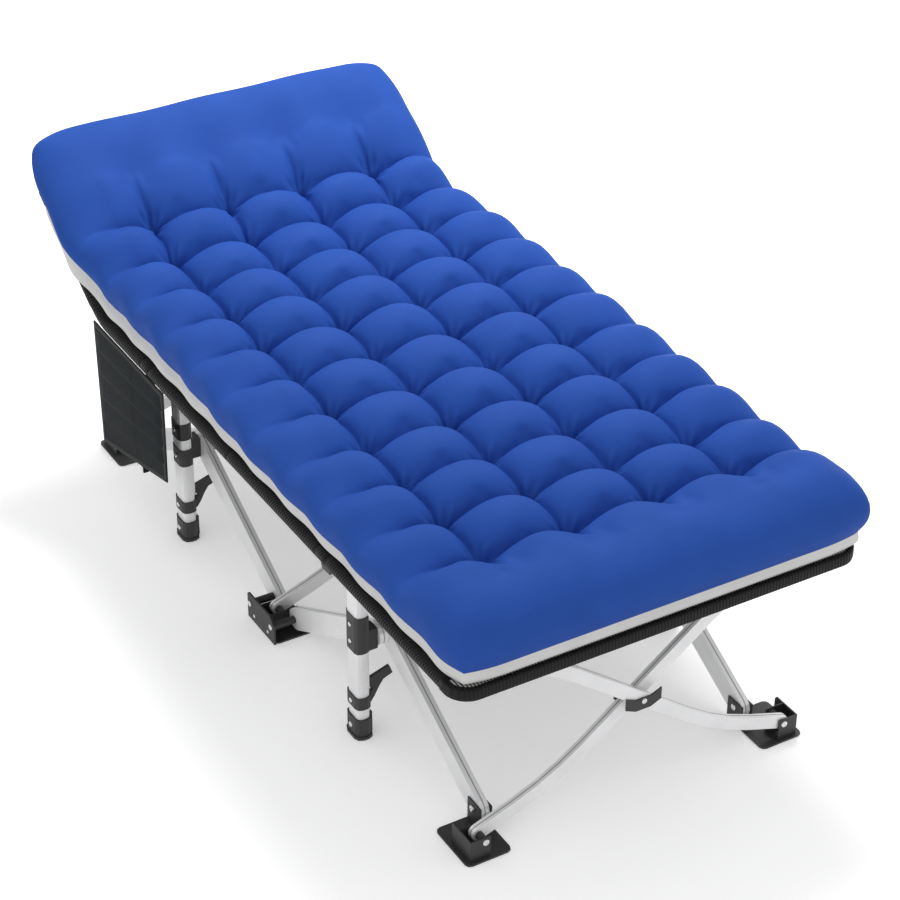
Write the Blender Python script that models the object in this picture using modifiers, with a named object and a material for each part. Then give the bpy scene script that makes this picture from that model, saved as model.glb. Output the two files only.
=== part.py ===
"""Folding camping cot with a tufted pad, in metres, +Z up.

X runs across the cot (left is -X), Y along it (the raised head is +Y), and Z is up from the floor.
Three X frames stand across the cot, at the foot, in the middle and at the head. Between them, two bars on
each side meet at an apex behind a post. Each side rail is four tubes, hinged in pairs on the post tops.
"""
import math

import bmesh
import bpy
import numpy as np
from mathutils import Matrix, Vector

# Clearances
GAP = 0.0003            # between pieces that touch
PIN_GAP = 0.0004        # round a pin, and between bars side by side

# The X frames
HALF_BASE = 0.369       # floor brackets, outer edge from the centreline
STATION_Y = 0.778       # end frames from the middle frame
FOOT_PIN_X = 0.3276     # lower pins of the X bars
PIN_Z = 0.0375          # height of all bracket pins
CROSS_Z = 0.2236        # where the bars of a frame cross
RAIL_X = 0.4115         # side rails from the centreline
TOP_X = RAIL_X - 0.0285  # upper ends of the X bars, just inside the rails
TOP_DROP = 0.007        # upper ends below the rail's axis
TOP_DROP_HEAD = 0.018   # and below the sloping rail at the head
X_BAR_HEIGHT = 0.028
X_BAR_THICK = 0.015
X_BAR_SPACE = 0.004     # between the two bars of a frame
CROSS_SLOPE = math.atan(0.29177 / TOP_X)        # steep enough for the bars to rise to the rails
CROSS_SLOPE_HEAD = math.atan(0.33294 / TOP_X)
BAR_BEND = 0.085        # straight length that each bend takes up

# The side bars
MID_PIN_Y = 0.046
FORK_PITCH = 0.067      # from an end frame to its side bars' pins
END_PIN_Y = STATION_Y - FORK_PITCH
POST_Y = (MID_PIN_Y + END_PIN_Y) / 2
APEX_Z = 0.218
SIDE_BAR_HEIGHT = 0.046
SIDE_BAR_THICK = 0.018
INNER_PLANE = 0.3075    # bars that reach the middle bracket
OUTER_PLANE = 0.2885    # bars that reach the corner brackets
PIN_R = 0.004
PIN_SIDES = 10

# The posts
POST_X = 0.3515
POST_W = 0.027
POST_L = 0.045
POST_ROUND = 0.009
POST_WALL = 0.0016
POST_TOP = 0.395
TRACK_STEM = 0.0035     # the slider's track stands this far off the post, then widens
TRACK_HEAD = 0.003
SLIDER_LENGTH = 0.046
SLIDER_HALF_Y = 0.014
BAND_WALL = 0.0016

# The rails
RAIL_Z = 0.427
RAIL_R = 0.011
DECK_FOOT_Y = STATION_Y + 0.090
DECK_ROUND = 0.045      # corners of the deck at the foot
RAIL_FOOT_Y = DECK_FOOT_Y - DECK_ROUND - 0.001
RAIL_MID_GAP = 0.037    # inner rails stop this far from the middle, to clear each other as they rise
HINGE_OFF = 0.020       # rail hinge pins on each side of a post
BEND_Y = STATION_Y - 0.164
HEAD_ANGLE = math.radians(33.0)
HEAD_RUN = 0.270        # horizontal reach of the raised part
TONGUE = 0.005

# Brackets
BRACKET_LENGTH = 0.116
PLATE = 0.004
WALL = 0.0025
BRACKET_HEIGHT = 0.060

# Deck cloth and pad
CLOTH = 0.0025
HEM = 0.035
PAD_HALF_W = RAIL_X - 0.0005
PAD_HEAD_Y = STATION_Y + 0.124
PAD_FOOT_Y = STATION_Y + 0.124
PAD_ROUND = 0.085
PAD_SEAM = 0.022
PAD_CROWN = 0.118
PUFF_X = 0.177          # spacing of the tufts across the pad
PUFF_Y = (PAD_HEAD_Y - 0.21215) / 4.5   # and along it, five to each half
TUFT_DEPTH = 0.070

# Pocket
POCKET_Y = (POST_Y - 0.0885, POST_Y + 0.2495)
POCKET_FOOT_Z = 0.205
POCKET_HEAD_Z = 0.125
POUCH_DEPTH = 0.024
POUCH_Y = (POST_Y + 0.0455, POST_Y + 0.2375)
POUCH_Z = (0.150, 0.370)
FABRIC = 0.0018

LEFT, RIGHT = -1, 1
FOOT, HEAD = -1, 1
SIDE_NAME = {LEFT: "left", RIGHT: "right"}
END_NAME = {FOOT: "foot", HEAD: "head"}
BAR_OFFSET = (X_BAR_THICK + X_BAR_SPACE) / 2

for old in list(bpy.data.objects):
    bpy.data.objects.remove(old)
pieces = bpy.data.collections.new("camping_cot")
tools = bpy.data.collections.new("cutters")
bpy.context.scene.collection.children.link(pieces)
bpy.context.scene.collection.children.link(tools)


def make_material(name, colour, roughness, metallic=0.0):
    """A plain Principled material."""
    material = bpy.data.materials.new(name)
    material.use_nodes = True
    shader = material.node_tree.nodes["Principled BSDF"]
    shader.inputs["Base Color"].default_value = (*colour, 1.0)
    shader.inputs["Roughness"].default_value = roughness
    shader.inputs["Metallic"].default_value = metallic
    material.diffuse_color = (*colour, 1.0)
    return material


SILVER = make_material("silver_tube", (0.62, 0.63, 0.65), 0.35, 0.6)
BLACK = make_material("black_moulding", (0.02, 0.02, 0.022), 0.45)
RAIL = make_material("black_tube", (0.03, 0.03, 0.03), 0.5, 0.3)
MESH = make_material("striped_mesh", (0.06, 0.06, 0.065), 0.8)
SLATE = make_material("pocket_cloth", (0.04, 0.06, 0.08), 0.85)
BLUE = make_material("pad_cloth", (0.024, 0.085, 0.43), 0.75)


# Shapes: each function gives a mesh in world coordinates

def mesh_of(bm):
    """The bmesh as a mesh, with its faces pointing out."""
    bmesh.ops.recalc_face_normals(bm, faces=bm.faces)
    mesh = bpy.data.meshes.new("shape")
    bm.to_mesh(mesh)
    bm.free()
    return mesh


def mesh_of_curve(curve, matrix):
    """A filled or bevelled curve as one closed mesh."""
    holder = bpy.data.objects.new("curve", curve)
    tools.objects.link(holder)
    graph = bpy.context.evaluated_depsgraph_get()
    mesh = bpy.data.meshes.new_from_object(holder.evaluated_get(graph))
    bpy.data.objects.remove(holder)
    bm = bmesh.new()
    bm.from_mesh(mesh)
    bmesh.ops.remove_doubles(bm, verts=bm.verts, dist=0.00002)
    bmesh.ops.transform(bm, matrix=matrix, verts=bm.verts)
    return mesh_of(bm)


TO_AXIS = {
    "X": Matrix(((0, 0, 1, 0), (1, 0, 0, 0), (0, 1, 0, 0), (0, 0, 0, 1))),
    "Y": Matrix(((1, 0, 0, 0), (0, 0, 1, 0), (0, 1, 0, 0), (0, 0, 0, 1))),
    "Z": Matrix.Identity(4),
}


def prism(loops, axis, low, high):
    """Flat outline, with any holes as further loops, carried along an axis from low to high.

    The outline's two numbers are the other two axes in X, Y, Z order.
    """
    curve = bpy.data.curves.new("outline", "CURVE")
    curve.dimensions = "2D"
    curve.fill_mode = "BOTH"
    curve.extrude = (high - low) / 2
    for loop in loops:
        spline = curve.splines.new("POLY")
        spline.points.add(len(loop) - 1)
        for point, (a, b) in zip(spline.points, loop):
            point.co = (a, b, 0.0, 1.0)
        spline.use_cyclic_u = True
    return mesh_of_curve(curve, TO_AXIS[axis] @ Matrix.Translation((0, 0, (low + high) / 2)))


def box(x, y, z):
    """Box between pairs of limits."""
    bm = bmesh.new()
    bmesh.ops.create_cube(bm, size=1.0)
    size = (x[1] - x[0], y[1] - y[0], z[1] - z[0])
    centre = ((x[0] + x[1]) / 2, (y[0] + y[1]) / 2, (z[0] + z[1]) / 2)
    matrix = Matrix.Translation(centre) @ Matrix.Diagonal((*[abs(s) for s in size], 1.0))
    bmesh.ops.transform(bm, matrix=matrix, verts=bm.verts)
    return mesh_of(bm)


def cylinder(radius, axis, low, high, centre, sides=PIN_SIDES):
    """Cylinder along an axis; centre is its place in the other two, in X, Y, Z order."""
    bm = bmesh.new()
    bmesh.ops.create_cone(bm, cap_ends=True, segments=sides, radius1=radius, radius2=radius,
                          depth=abs(high - low))
    matrix = TO_AXIS[axis] @ Matrix.Translation((centre[0], centre[1], (low + high) / 2))
    bmesh.ops.transform(bm, matrix=matrix, verts=bm.verts)
    return mesh_of(bm)


def tube(points, radius, resolution=4):
    """Round bar along a line of points, with flat ends."""
    curve = bpy.data.curves.new("line", "CURVE")
    curve.dimensions = "3D"
    curve.bevel_depth = radius
    curve.bevel_resolution = resolution
    curve.use_fill_caps = True
    spline = curve.splines.new("POLY")
    spline.points.add(len(points) - 1)
    for point, place in zip(spline.points, points):
        point.co = (*place, 1.0)
    return mesh_of_curve(curve, Matrix.Identity(4))


def arc(centre, radius, start, stop, steps):
    """Points on a circle from one angle to another, in degrees."""
    angles = np.radians(np.linspace(start, stop, steps))
    return [(centre[0] + radius * math.cos(a), centre[1] + radius * math.sin(a)) for a in angles]


def ring(centre, radius, steps=PIN_SIDES):
    """A round hole or disc outline."""
    return arc(centre, radius, 0, 360, steps + 1)[:-1]


def rounded(low, high, radius, steps=3):
    """Rectangle with round corners."""
    (x0, y0), (x1, y1) = low, high
    return (arc((x1 - radius, y0 + radius), radius, -90, 0, steps)
            + arc((x1 - radius, y1 - radius), radius, 0, 90, steps)
            + arc((x0 + radius, y1 - radius), radius, 90, 180, steps)
            + arc((x0 + radius, y0 + radius), radius, 180, 270, steps))


def band_outline(line, half, steps=7):
    """Outline of a bar of even height along a line of points, with round ends."""
    line = np.asarray(line, float)
    way = np.gradient(line, axis=0)
    way[0] = line[1] - line[0]
    way[-1] = line[-1] - line[-2]
    way /= np.linalg.norm(way, axis=1)[:, None]
    normal = np.stack([-way[:, 1], way[:, 0]], axis=1)
    upper = [tuple(p) for p in line + half * normal]
    lower = [tuple(p) for p in line - half * normal]
    first = math.degrees(math.atan2(way[0][1], way[0][0]))
    last = math.degrees(math.atan2(way[-1][1], way[-1][0]))
    return (lower + arc(line[-1], half, last - 90, last + 90, steps)[1:-1] + upper[::-1]
            + arc(line[0], half, first + 90, first + 270, steps)[1:-1])


def mirrored(points, sign):
    """Outline points with the first number times the sign."""
    return [(sign * a, b) for a, b in points]


def ordered(a, b):
    """The two limits, smaller first."""
    return (min(a, b), max(a, b))


def span(sign, a, b):
    """Limits a and b on one side of the middle plane, smaller first."""
    return ordered(sign * a, sign * b)


# Pieces: objects made of those shapes

def keep(name, mesh, origin, material, smooth=35):
    """Put a mesh into the model as a named piece with its origin at a point."""
    mesh.name = name
    mesh.transform(Matrix.Translation(-Vector(origin)))
    mesh.materials.clear()
    mesh.materials.append(material)
    mesh.shade_smooth()
    mesh.set_sharp_from_angle(angle=math.radians(smooth))
    piece = bpy.data.objects.new(name, mesh)
    piece.location = origin
    pieces.objects.link(piece)
    return piece


def as_tool(name, meshes):
    """Several shapes as one hidden tool object for a Boolean."""
    bm = bmesh.new()
    for mesh in meshes:
        bm.from_mesh(mesh)
        bpy.data.meshes.remove(mesh)
    mesh = bpy.data.meshes.new(name)
    bm.to_mesh(mesh)
    bm.free()
    tool = bpy.data.objects.new(name, mesh)
    tool.hide_render = True
    tool.display_type = "WIRE"
    tools.objects.link(tool)
    return tool


def boolean(piece, meshes, operation):
    """Join or cut a piece with shapes."""
    modifier = piece.modifiers.new(operation.lower(), "BOOLEAN")
    modifier.object = as_tool(piece.name + "_" + operation.lower(), meshes)
    modifier.operation = operation
    modifier.solver = "EXACT"
    modifier.use_self = len(meshes) > 1


def soften(piece, width, segments=1, angle=50):
    """Round the piece's edges."""
    modifier = piece.modifiers.new("soft_edges", "BEVEL")
    modifier.width = width
    modifier.segments = segments
    modifier.limit_method = "ANGLE"
    modifier.angle_limit = math.radians(angle)


# The X frames

def frame_top(end):
    """Height of an X bar's upper end: it follows the rail."""
    if end == HEAD:
        return RAIL_Z + (STATION_Y - BEND_Y) * math.tan(HEAD_ANGLE) - TOP_DROP_HEAD
    return RAIL_Z - TOP_DROP


def corner_between(start, slope, finish, length_at):
    """Where a line leaving start at a slope meets the bar that ends at finish, length_at short of it."""
    way = np.array([math.cos(slope), math.sin(slope)])
    reach = np.asarray(finish, float) - np.asarray(start, float)
    along = reach @ way
    across = reach[0] * way[1] - reach[1] * way[0]
    return np.asarray(start) + way * (along - math.sqrt(length_at ** 2 - across ** 2))


def round_corner(before, corner, after, straight, steps=4):
    """Points of the arc that rounds a corner, starting a straight length before it."""
    before, corner, after = (np.asarray(p, float) for p in (before, corner, after))
    start = corner + straight * (before - corner) / np.linalg.norm(before - corner)
    stop = corner + straight * (after - corner) / np.linalg.norm(after - corner)
    t = np.linspace(0, 1, steps)[:, None]
    curve = (1 - t) ** 2 * start + 2 * t * (1 - t) * corner + t ** 2 * stop
    return [tuple(p) for p in curve]


def x_bar_line(end):
    """Centre line of the bar that stands on the left bracket and rises to the right, in X and Z."""
    slope = CROSS_SLOPE_HEAD if end == HEAD else CROSS_SLOPE
    crossing = (0.0, CROSS_Z)
    foot = (-FOOT_PIN_X, PIN_Z)
    top = (TOP_X, frame_top(end))
    low_corner = corner_between(crossing, slope + math.pi, foot, 0.165)
    high_corner = corner_between(crossing, slope, top, 0.170)
    return ([foot] + round_corner(foot, low_corner, crossing, BAR_BEND)
            + round_corner(crossing, high_corner, top, BAR_BEND) + [top])


def make_x_frame(end, place):
    """Two crossing bars and the clip that pins them at the middle."""
    station = end * STATION_Y
    for letter, sign in (("a", 1), ("b", -1)):
        middle = station + sign * BAR_OFFSET
        outline = mirrored(band_outline(x_bar_line(end), X_BAR_HEIGHT / 2), sign)
        holes = [ring((-sign * FOOT_PIN_X, PIN_Z), PIN_R + PIN_GAP), ring((0, CROSS_Z), PIN_R + PIN_GAP)]
        bar = prism([outline] + holes, "Y", middle - X_BAR_THICK / 2, middle + X_BAR_THICK / 2)
        piece = keep("x_bar_%s_%s" % (place, letter), bar, (-sign * FOOT_PIN_X, middle, PIN_Z), SILVER)
        soften(piece, 0.0028)
    inside = X_BAR_SPACE / 2 - PIN_GAP
    outside = X_BAR_SPACE / 2 + X_BAR_THICK + PIN_GAP
    leaf = [(0.038, 0.016), (0.016, 0.006), (-0.016, 0.006), (-0.038, 0.016),
            (-0.038, -0.009), (-0.016, -0.019), (0.016, -0.019), (0.038, -0.009)]
    saddle = [(x, CROSS_Z + z) for x, z in leaf]
    clip = keep("clip_" + place, cylinder(PIN_R, "Y", station - outside - 0.001, station + outside + 0.001,
                                          (0, CROSS_Z)), (0, station, CROSS_Z), BLACK)
    boolean(clip, [
        cylinder(0.011, "Y", station - inside, station + inside, (0, CROSS_Z)),
        prism([saddle], "Y", station - outside - 0.003, station - outside),
        prism([saddle], "Y", station + outside, station + outside + 0.003),
        cylinder(0.0055, "Y", station - outside - 0.0045, station - outside - 0.002, (0, CROSS_Z)),
        cylinder(0.0055, "Y", station + outside + 0.002, station + outside + 0.0045, (0, CROSS_Z)),
    ], "UNION")


# The floor brackets

INNER_WALL_X = INNER_PLANE - SIDE_BAR_THICK / 2 - 0.001
CHANNEL_HALF = BAR_OFFSET + X_BAR_THICK / 2 + 0.002


def frame_pin(side, station):
    """The pin of an X bar between the channel's walls, with a spacer on the free half."""
    bar_sign = -side
    free_face = bar_sign * (X_BAR_SPACE / 2 - PIN_GAP)
    wall = -bar_sign * (CHANNEL_HALF + 0.001)
    centre = (side * FOOT_PIN_X, PIN_Z)
    low, high = ordered(station + wall, station + free_face)
    return [
        cylinder(PIN_R, "Y", station - CHANNEL_HALF - 0.001, station + CHANNEL_HALF + 0.001, centre),
        cylinder(0.008, "Y", low, high, centre),
    ]


def make_middle_bracket(side):
    """Upright outer plate, floor flange, channel for the X bar and a pin for each side bar."""
    half = BRACKET_LENGTH / 2
    chamfer = 0.016
    inner_edge = OUTER_PLANE - SIDE_BAR_THICK / 2 - 0.004
    plate = [(-half, 0), (half, 0), (half, BRACKET_HEIGHT - 0.004), (half - 0.004, BRACKET_HEIGHT),
             (-half + chamfer, BRACKET_HEIGHT), (-half, BRACKET_HEIGHT - chamfer)]
    name = "bracket_middle_" + SIDE_NAME[side]
    bracket = keep(name, prism([plate], "X", *span(side, HALF_BASE - PLATE, HALF_BASE)),
                   (side * FOOT_PIN_X, 0, PIN_Z), BLACK)
    flange = rounded((inner_edge, -half), (HALF_BASE - 0.002, half), 0.010)
    top = PIN_Z + 0.009
    shapes = [prism([mirrored(flange, side)], "Z", 0, PLATE)]
    for way in (-1, 1):
        shapes.append(box(span(side, INNER_WALL_X - 0.002, HALF_BASE - 0.002),
                          span(way, CHANNEL_HALF, CHANNEL_HALF + WALL), (0.002, top)))
        shapes.append(box(span(side, INNER_WALL_X - WALL, INNER_WALL_X),
                          span(way, CHANNEL_HALF + 0.0005, half - 0.002), (0.002, top)))
        pin = (way * MID_PIN_Y, PIN_Z)
        shapes.append(cylinder(PIN_R, "X", *span(side, INNER_WALL_X - 0.001, HALF_BASE - 0.001), pin))
        shapes.append(cylinder(0.008, "X", *span(side, INNER_PLANE + SIDE_BAR_THICK / 2 + 0.001,
                                                 HALF_BASE - 0.002), pin))
        shapes.append(cylinder(0.0065, "X", *span(side, HALF_BASE - 0.001, HALF_BASE + 0.0015), pin))
    boolean(bracket, shapes + frame_pin(side, 0.0), "UNION")


def make_corner_bracket(side, end):
    """Floor plate, open box for the X bar's foot and a fork for the side bar."""
    station = end * STATION_Y
    inner_edge = OUTER_PLANE - SIDE_BAR_THICK / 2 - 0.004
    outer_y = STATION_Y + CHANNEL_HALF + WALL + 0.008
    name = "bracket_%s_%s" % (END_NAME[end], SIDE_NAME[side])
    flange = rounded((inner_edge, outer_y - BRACKET_LENGTH), (HALF_BASE, outer_y), 0.010)
    flange = [(side * x, end * y) for x, y in flange]
    bracket = keep(name, prism([flange], "Z", 0, PLATE), (side * FOOT_PIN_X, station, PIN_Z), BLACK)
    top = BRACKET_HEIGHT - 0.012
    box_x = (FOOT_PIN_X - 0.011, HALF_BASE - 0.0105)
    shapes = frame_pin(side, station)
    for way in (-1, 1):
        shapes.append(box(span(side, *box_x), ordered(station + way * CHANNEL_HALF,
                                                      station + way * (CHANNEL_HALF + WALL)), (0.002, top)))
    front = STATION_Y + CHANNEL_HALF + WALL
    cheek = [(front, 0.002), (front, top), (front - 0.062, top), (front - 0.066, top - 0.006),
             (front - 0.066, 0.002)]
    shapes.append(prism([mirrored(cheek, end)], "X", *span(side, box_x[1] - WALL, box_x[1])))
    top = BRACKET_HEIGHT - 0.008
    fork_y = span(end, END_PIN_Y - 0.019, END_PIN_Y + 0.026)
    bar_half = SIDE_BAR_THICK / 2 + 0.001
    for near in (OUTER_PLANE - bar_half - WALL, OUTER_PLANE + bar_half):
        shapes.append(box(span(side, near, near + WALL), fork_y, (0.002, top)))
    pin = (end * END_PIN_Y, PIN_Z)
    shapes.append(cylinder(PIN_R, "X", *span(side, OUTER_PLANE - bar_half - 0.002,
                                             OUTER_PLANE + bar_half + 0.002), pin))
    shapes.append(cylinder(0.0065, "X", *span(side, OUTER_PLANE + bar_half + WALL - 0.001,
                                              OUTER_PLANE + bar_half + WALL + 0.002), pin))
    face = end * (STATION_Y + CHANNEL_HALF + WALL)
    shapes.append(cylinder(0.0065, "Y", *ordered(face - end * 0.001, face + end * 0.0015),
                           (side * FOOT_PIN_X, PIN_Z)))
    boolean(bracket, shapes, "UNION")


# The side bars, sliders and posts

def make_side_bar(side, end, reach):
    """Flat tube from a bracket pin up to the apex behind the post."""
    foot = (end * (MID_PIN_Y if reach == "inner" else END_PIN_Y), PIN_Z)
    apex = (end * POST_Y, APEX_Z)
    plane = side * (INNER_PLANE if reach == "inner" else OUTER_PLANE)
    holes = [ring(foot, PIN_R + PIN_GAP), ring(apex, PIN_R + PIN_GAP)]
    outline = band_outline([foot, apex], SIDE_BAR_HEIGHT / 2)
    bar = prism([outline] + holes, "X", plane - SIDE_BAR_THICK / 2, plane + SIDE_BAR_THICK / 2)
    origin = (plane, *foot) if reach == "inner" else (plane, *apex)
    name = "side_bar_%s_%s_%s" % (END_NAME[end], reach, SIDE_NAME[side])
    soften(keep(name, bar, origin, SILVER), 0.0035)


def post_outline(side, middle_y, grow=0.0):
    """The post's outer outline in X and Y, with the T-shaped track on its inner side."""
    inner = POST_X - POST_W / 2
    stem = 0.002 + grow
    head = 0.005 + grow
    neck = inner - TRACK_STEM + grow
    tip = inner - TRACK_STEM - TRACK_HEAD - grow
    body = rounded((inner - grow, -POST_L / 2 - grow), (POST_X + POST_W / 2 + grow, POST_L / 2 + grow),
                   POST_ROUND)
    half = len(body) // 2 + len(body) // 4
    track = [(inner - grow, stem), (neck, stem), (neck, head), (tip, head),
             (tip, -head), (neck, -head), (neck, -stem), (inner - grow, -stem)]
    points = body[:half] + track + body[half:]
    return [(side * x, middle_y + y) for x, y in points]


def make_post(side, end):
    """Aluminium post with its foot, its bands, the stop arm, the slider and the hinge block on top."""
    here = "%s_%s" % (END_NAME[end], SIDE_NAME[side])
    y = end * POST_Y
    centre = side * POST_X
    hollow = rounded((POST_X - POST_W / 2 + POST_WALL, -POST_L / 2 + POST_WALL),
                     (POST_X + POST_W / 2 - POST_WALL, POST_L / 2 - POST_WALL), POST_ROUND - POST_WALL)
    hollow = [(side * a, y + b) for a, b in hollow]
    post = prism([post_outline(side, y), hollow], "Z", 0.008 + GAP, POST_TOP)
    keep("post_" + here, post, (centre, y, POST_TOP), SILVER)
    make_post_boot(side, y, here)
    make_bands(side, end, y, here)
    make_stop_arm(side, y, here)
    make_slider(side, y, here)
    make_hinge_block(side, y, here)


def post_box(side, y, wall, low, high):
    """Rounded block that stands a wall's thickness proud of the post on all sides."""
    grow = wall + GAP
    inner = POST_X - POST_W / 2 - grow
    outer = POST_X + POST_W / 2 + grow
    loop = rounded((inner, -POST_L / 2 - grow), (outer, POST_L / 2 + grow), POST_ROUND + wall)
    return prism([[(side * a, y + b) for a, b in loop]], "Z", low, high)


def make_post_boot(side, y, here):
    """Moulded foot that caps the post's lower end."""
    foot = keep("post_boot_" + here, post_box(side, y, 0.0035, 0.0, 0.046), (side * POST_X, y, 0.0), BLACK)
    boolean(foot, [
        post_box(side, y, 0.0055, 0.0, 0.007),
        box(span(side, POST_X - POST_W / 2 - TRACK_STEM - TRACK_HEAD - 0.003, POST_X),
            (y - 0.009, y + 0.009), (0.0, 0.046)),
        cylinder(0.0055, "X", *span(side, POST_X + POST_W / 2 + 0.002, POST_X + POST_W / 2 + 0.0055),
                 (y, 0.026), 12),
    ], "UNION")
    boolean(foot, [prism([post_outline(side, y, GAP)], "Z", 0.008, 0.060)], "DIFFERENCE")


def band_mesh(side, y, low, high):
    """Moulded band round the post, open at the track so that the slider can pass."""
    near = POST_X - POST_W / 2 + POST_ROUND
    far = POST_X + POST_W / 2 - POST_ROUND
    turn = POST_L / 2 - POST_ROUND
    walls = []
    for radius in (POST_ROUND + GAP + BAND_WALL, POST_ROUND + GAP):
        walls.append(arc((near, -turn), radius, 225, 270, 2) + arc((far, -turn), radius, -90, 0, 3)
                     + arc((far, turn), radius, 0, 90, 3) + arc((near, turn), radius, 90, 135, 2))
    loop = walls[0] + walls[1][::-1]
    return prism([[(side * a, y + b) for a, b in loop]], "Z", low, high)


def make_bands(side, end, y, here):
    """One tall band on a foot post, two short ones on a head post, each with rivets."""
    face = span(side, POST_X + POST_W / 2 + GAP + 0.0008, POST_X + POST_W / 2 + GAP + BAND_WALL + 0.0014)
    spans = [("", 0.200, 0.282)] if end == FOOT else [("", 0.250, 0.288), ("_lower", 0.186, 0.226)]
    for suffix, low, high in spans:
        band = keep("post_band%s_%s" % (suffix, here), band_mesh(side, y, low, high),
                    (side * POST_X, y, low), BLACK)
        heights = [low + 0.022, high - 0.022] if end == FOOT else [(low + high) / 2]
        boolean(band, [cylinder(0.0042, "X", *face, (y, height), 12) for height in heights], "UNION")


def make_stop_arm(side, y, here):
    """Lower collar with a strut that curves inwards and up to a short beam beside the post."""
    grow = 0.0026 + GAP
    low, high = 0.070, 0.097
    track = POST_X - POST_W / 2 - TRACK_STEM - TRACK_HEAD
    loop = rounded((POST_X - POST_W / 2 - grow, -POST_L / 2 - grow),
                   (POST_X + POST_W / 2 + grow, POST_L / 2 + grow), POST_ROUND + 0.0026)
    collar = prism([[(side * a, y + b) for a, b in loop]], "Z", low, high)
    arm = keep("stop_arm_" + here, collar, (side * POST_X, y, (low + high) / 2), BLACK)
    strut = [(0.001, 0.064), (-0.004, 0.066), (-0.012, 0.077), (-0.0225, 0.097), (-0.031, 0.109),
             (-0.051, 0.117), (-0.044, 0.1352), (-0.0008, 0.1215), (-0.0008, 0.101), (-0.0075, 0.099),
             (-0.006, 0.090), (0.001, 0.080)]
    strut = [(side * (track + a), b) for a, b in strut]
    boolean(arm, [
        box(span(side, track - GAP - 0.0025, POST_X - 0.006), (y - 0.0085, y + 0.0085), (low, high)),
        prism([strut], "Y", y - 0.0035, y + 0.0035),
        cylinder(0.0045, "X", *span(side, POST_X + POST_W / 2 + GAP, POST_X + POST_W / 2 + 0.0045),
                 (y, (low + high) / 2), 12),
    ], "UNION")
    boolean(arm, [prism([post_outline(side, y, GAP)], "Z", 0.050, 0.150)], "DIFFERENCE")


def make_slider(side, y, here):
    """Block that rides on the post's track and carries the apex pin."""
    inner = POST_X - POST_W / 2
    run = 0.0005
    near = inner - run
    far = OUTER_PLANE + SIDE_BAR_THICK / 2 + (INNER_PLANE - OUTER_PLANE) + 0.001
    stem = 0.002 + run
    head = 0.005 + run
    neck = inner - TRACK_STEM + run
    tip = inner - TRACK_STEM - TRACK_HEAD - run
    profile = [(far, -SLIDER_HALF_Y), (near, -SLIDER_HALF_Y), (near, -stem), (neck, -stem), (neck, -head),
               (tip, -head), (tip, head), (neck, head), (neck, stem), (near, stem),
               (near, SLIDER_HALF_Y), (far, SLIDER_HALF_Y)]
    loop = [(side * a, y + b) for a, b in profile]
    block = prism([loop], "Z", APEX_Z - SLIDER_LENGTH / 2, APEX_Z + SLIDER_LENGTH / 2)
    slider = keep("slider_" + here, block, (side * INNER_PLANE, y, APEX_Z), BLACK)
    end_x = OUTER_PLANE - SIDE_BAR_THICK / 2 - 0.001
    boolean(slider, [
        cylinder(PIN_R, "X", *span(side, end_x - 0.001, far + 0.002), (y, APEX_Z)),
        cylinder(0.0075, "X", *span(side, end_x - 0.002, end_x), (y, APEX_Z)),
    ], "UNION")


def make_hinge_block(side, y, here):
    """Cap on the post with a tongue that carries the two rail hinges."""
    low = POST_TOP + GAP
    tongue_top = RAIL_Z
    boss = 0.0085
    holes = [ring((y + way * HINGE_OFF, RAIL_Z), 0.003 + PIN_GAP, 12) for way in (-1, 1)]
    outline = (arc((y + HINGE_OFF, tongue_top), boss, -40, 90, 6)
               + arc((y - HINGE_OFF, tongue_top), boss, 90, 220, 6)
               + [(y - 0.014, low), (y + 0.014, low)])
    tongue = prism([outline] + holes, "X", *span(side, RAIL_X - TONGUE / 2, RAIL_X + TONGUE / 2))
    block = keep("hinge_block_" + here, tongue, (side * RAIL_X, y, RAIL_Z), BLACK)
    cap = rounded((POST_X - POST_W / 2, -POST_L / 2), (POST_X + POST_W / 2, POST_L / 2), POST_ROUND)
    arm = [(POST_X, -0.014), (RAIL_X + TONGUE / 2 - 0.0005, -0.011),
           (RAIL_X + TONGUE / 2 - 0.0005, 0.011), (POST_X, 0.014)]
    plug = rounded((POST_X - POST_W / 2 + POST_WALL + GAP, -POST_L / 2 + POST_WALL + GAP),
                   (POST_X + POST_W / 2 - POST_WALL - GAP, POST_L / 2 - POST_WALL - GAP),
                   POST_ROUND - POST_WALL)
    boolean(block, [
        prism([[(side * a, y + b) for a, b in cap]], "Z", low, low + 0.010),
        prism([[(side * a, y + b) for a, b in arm]], "Z", low, low + 0.009),
        prism([[(side * a, y + b) for a, b in plug]], "Z", low - 0.012, low + 0.002),
    ], "UNION")


# The rails

def rail_line(end, reach):
    """Points of one rail tube's axis, in Y and Z, from its hinge outwards."""
    if reach == "inner":
        return [(end * (POST_Y - HINGE_OFF + 0.0095), RAIL_Z), (end * RAIL_MID_GAP, RAIL_Z)]
    start = (end * (POST_Y + HINGE_OFF - 0.0095), RAIL_Z)
    if end == FOOT:
        return [start, (-RAIL_FOOT_Y, RAIL_Z)]
    corner = (BEND_Y, RAIL_Z)
    tip = (BEND_Y + HEAD_RUN, RAIL_Z + HEAD_RUN * math.tan(HEAD_ANGLE))
    return [start] + round_corner(start, corner, tip, 0.040, 4) + [tip]


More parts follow.
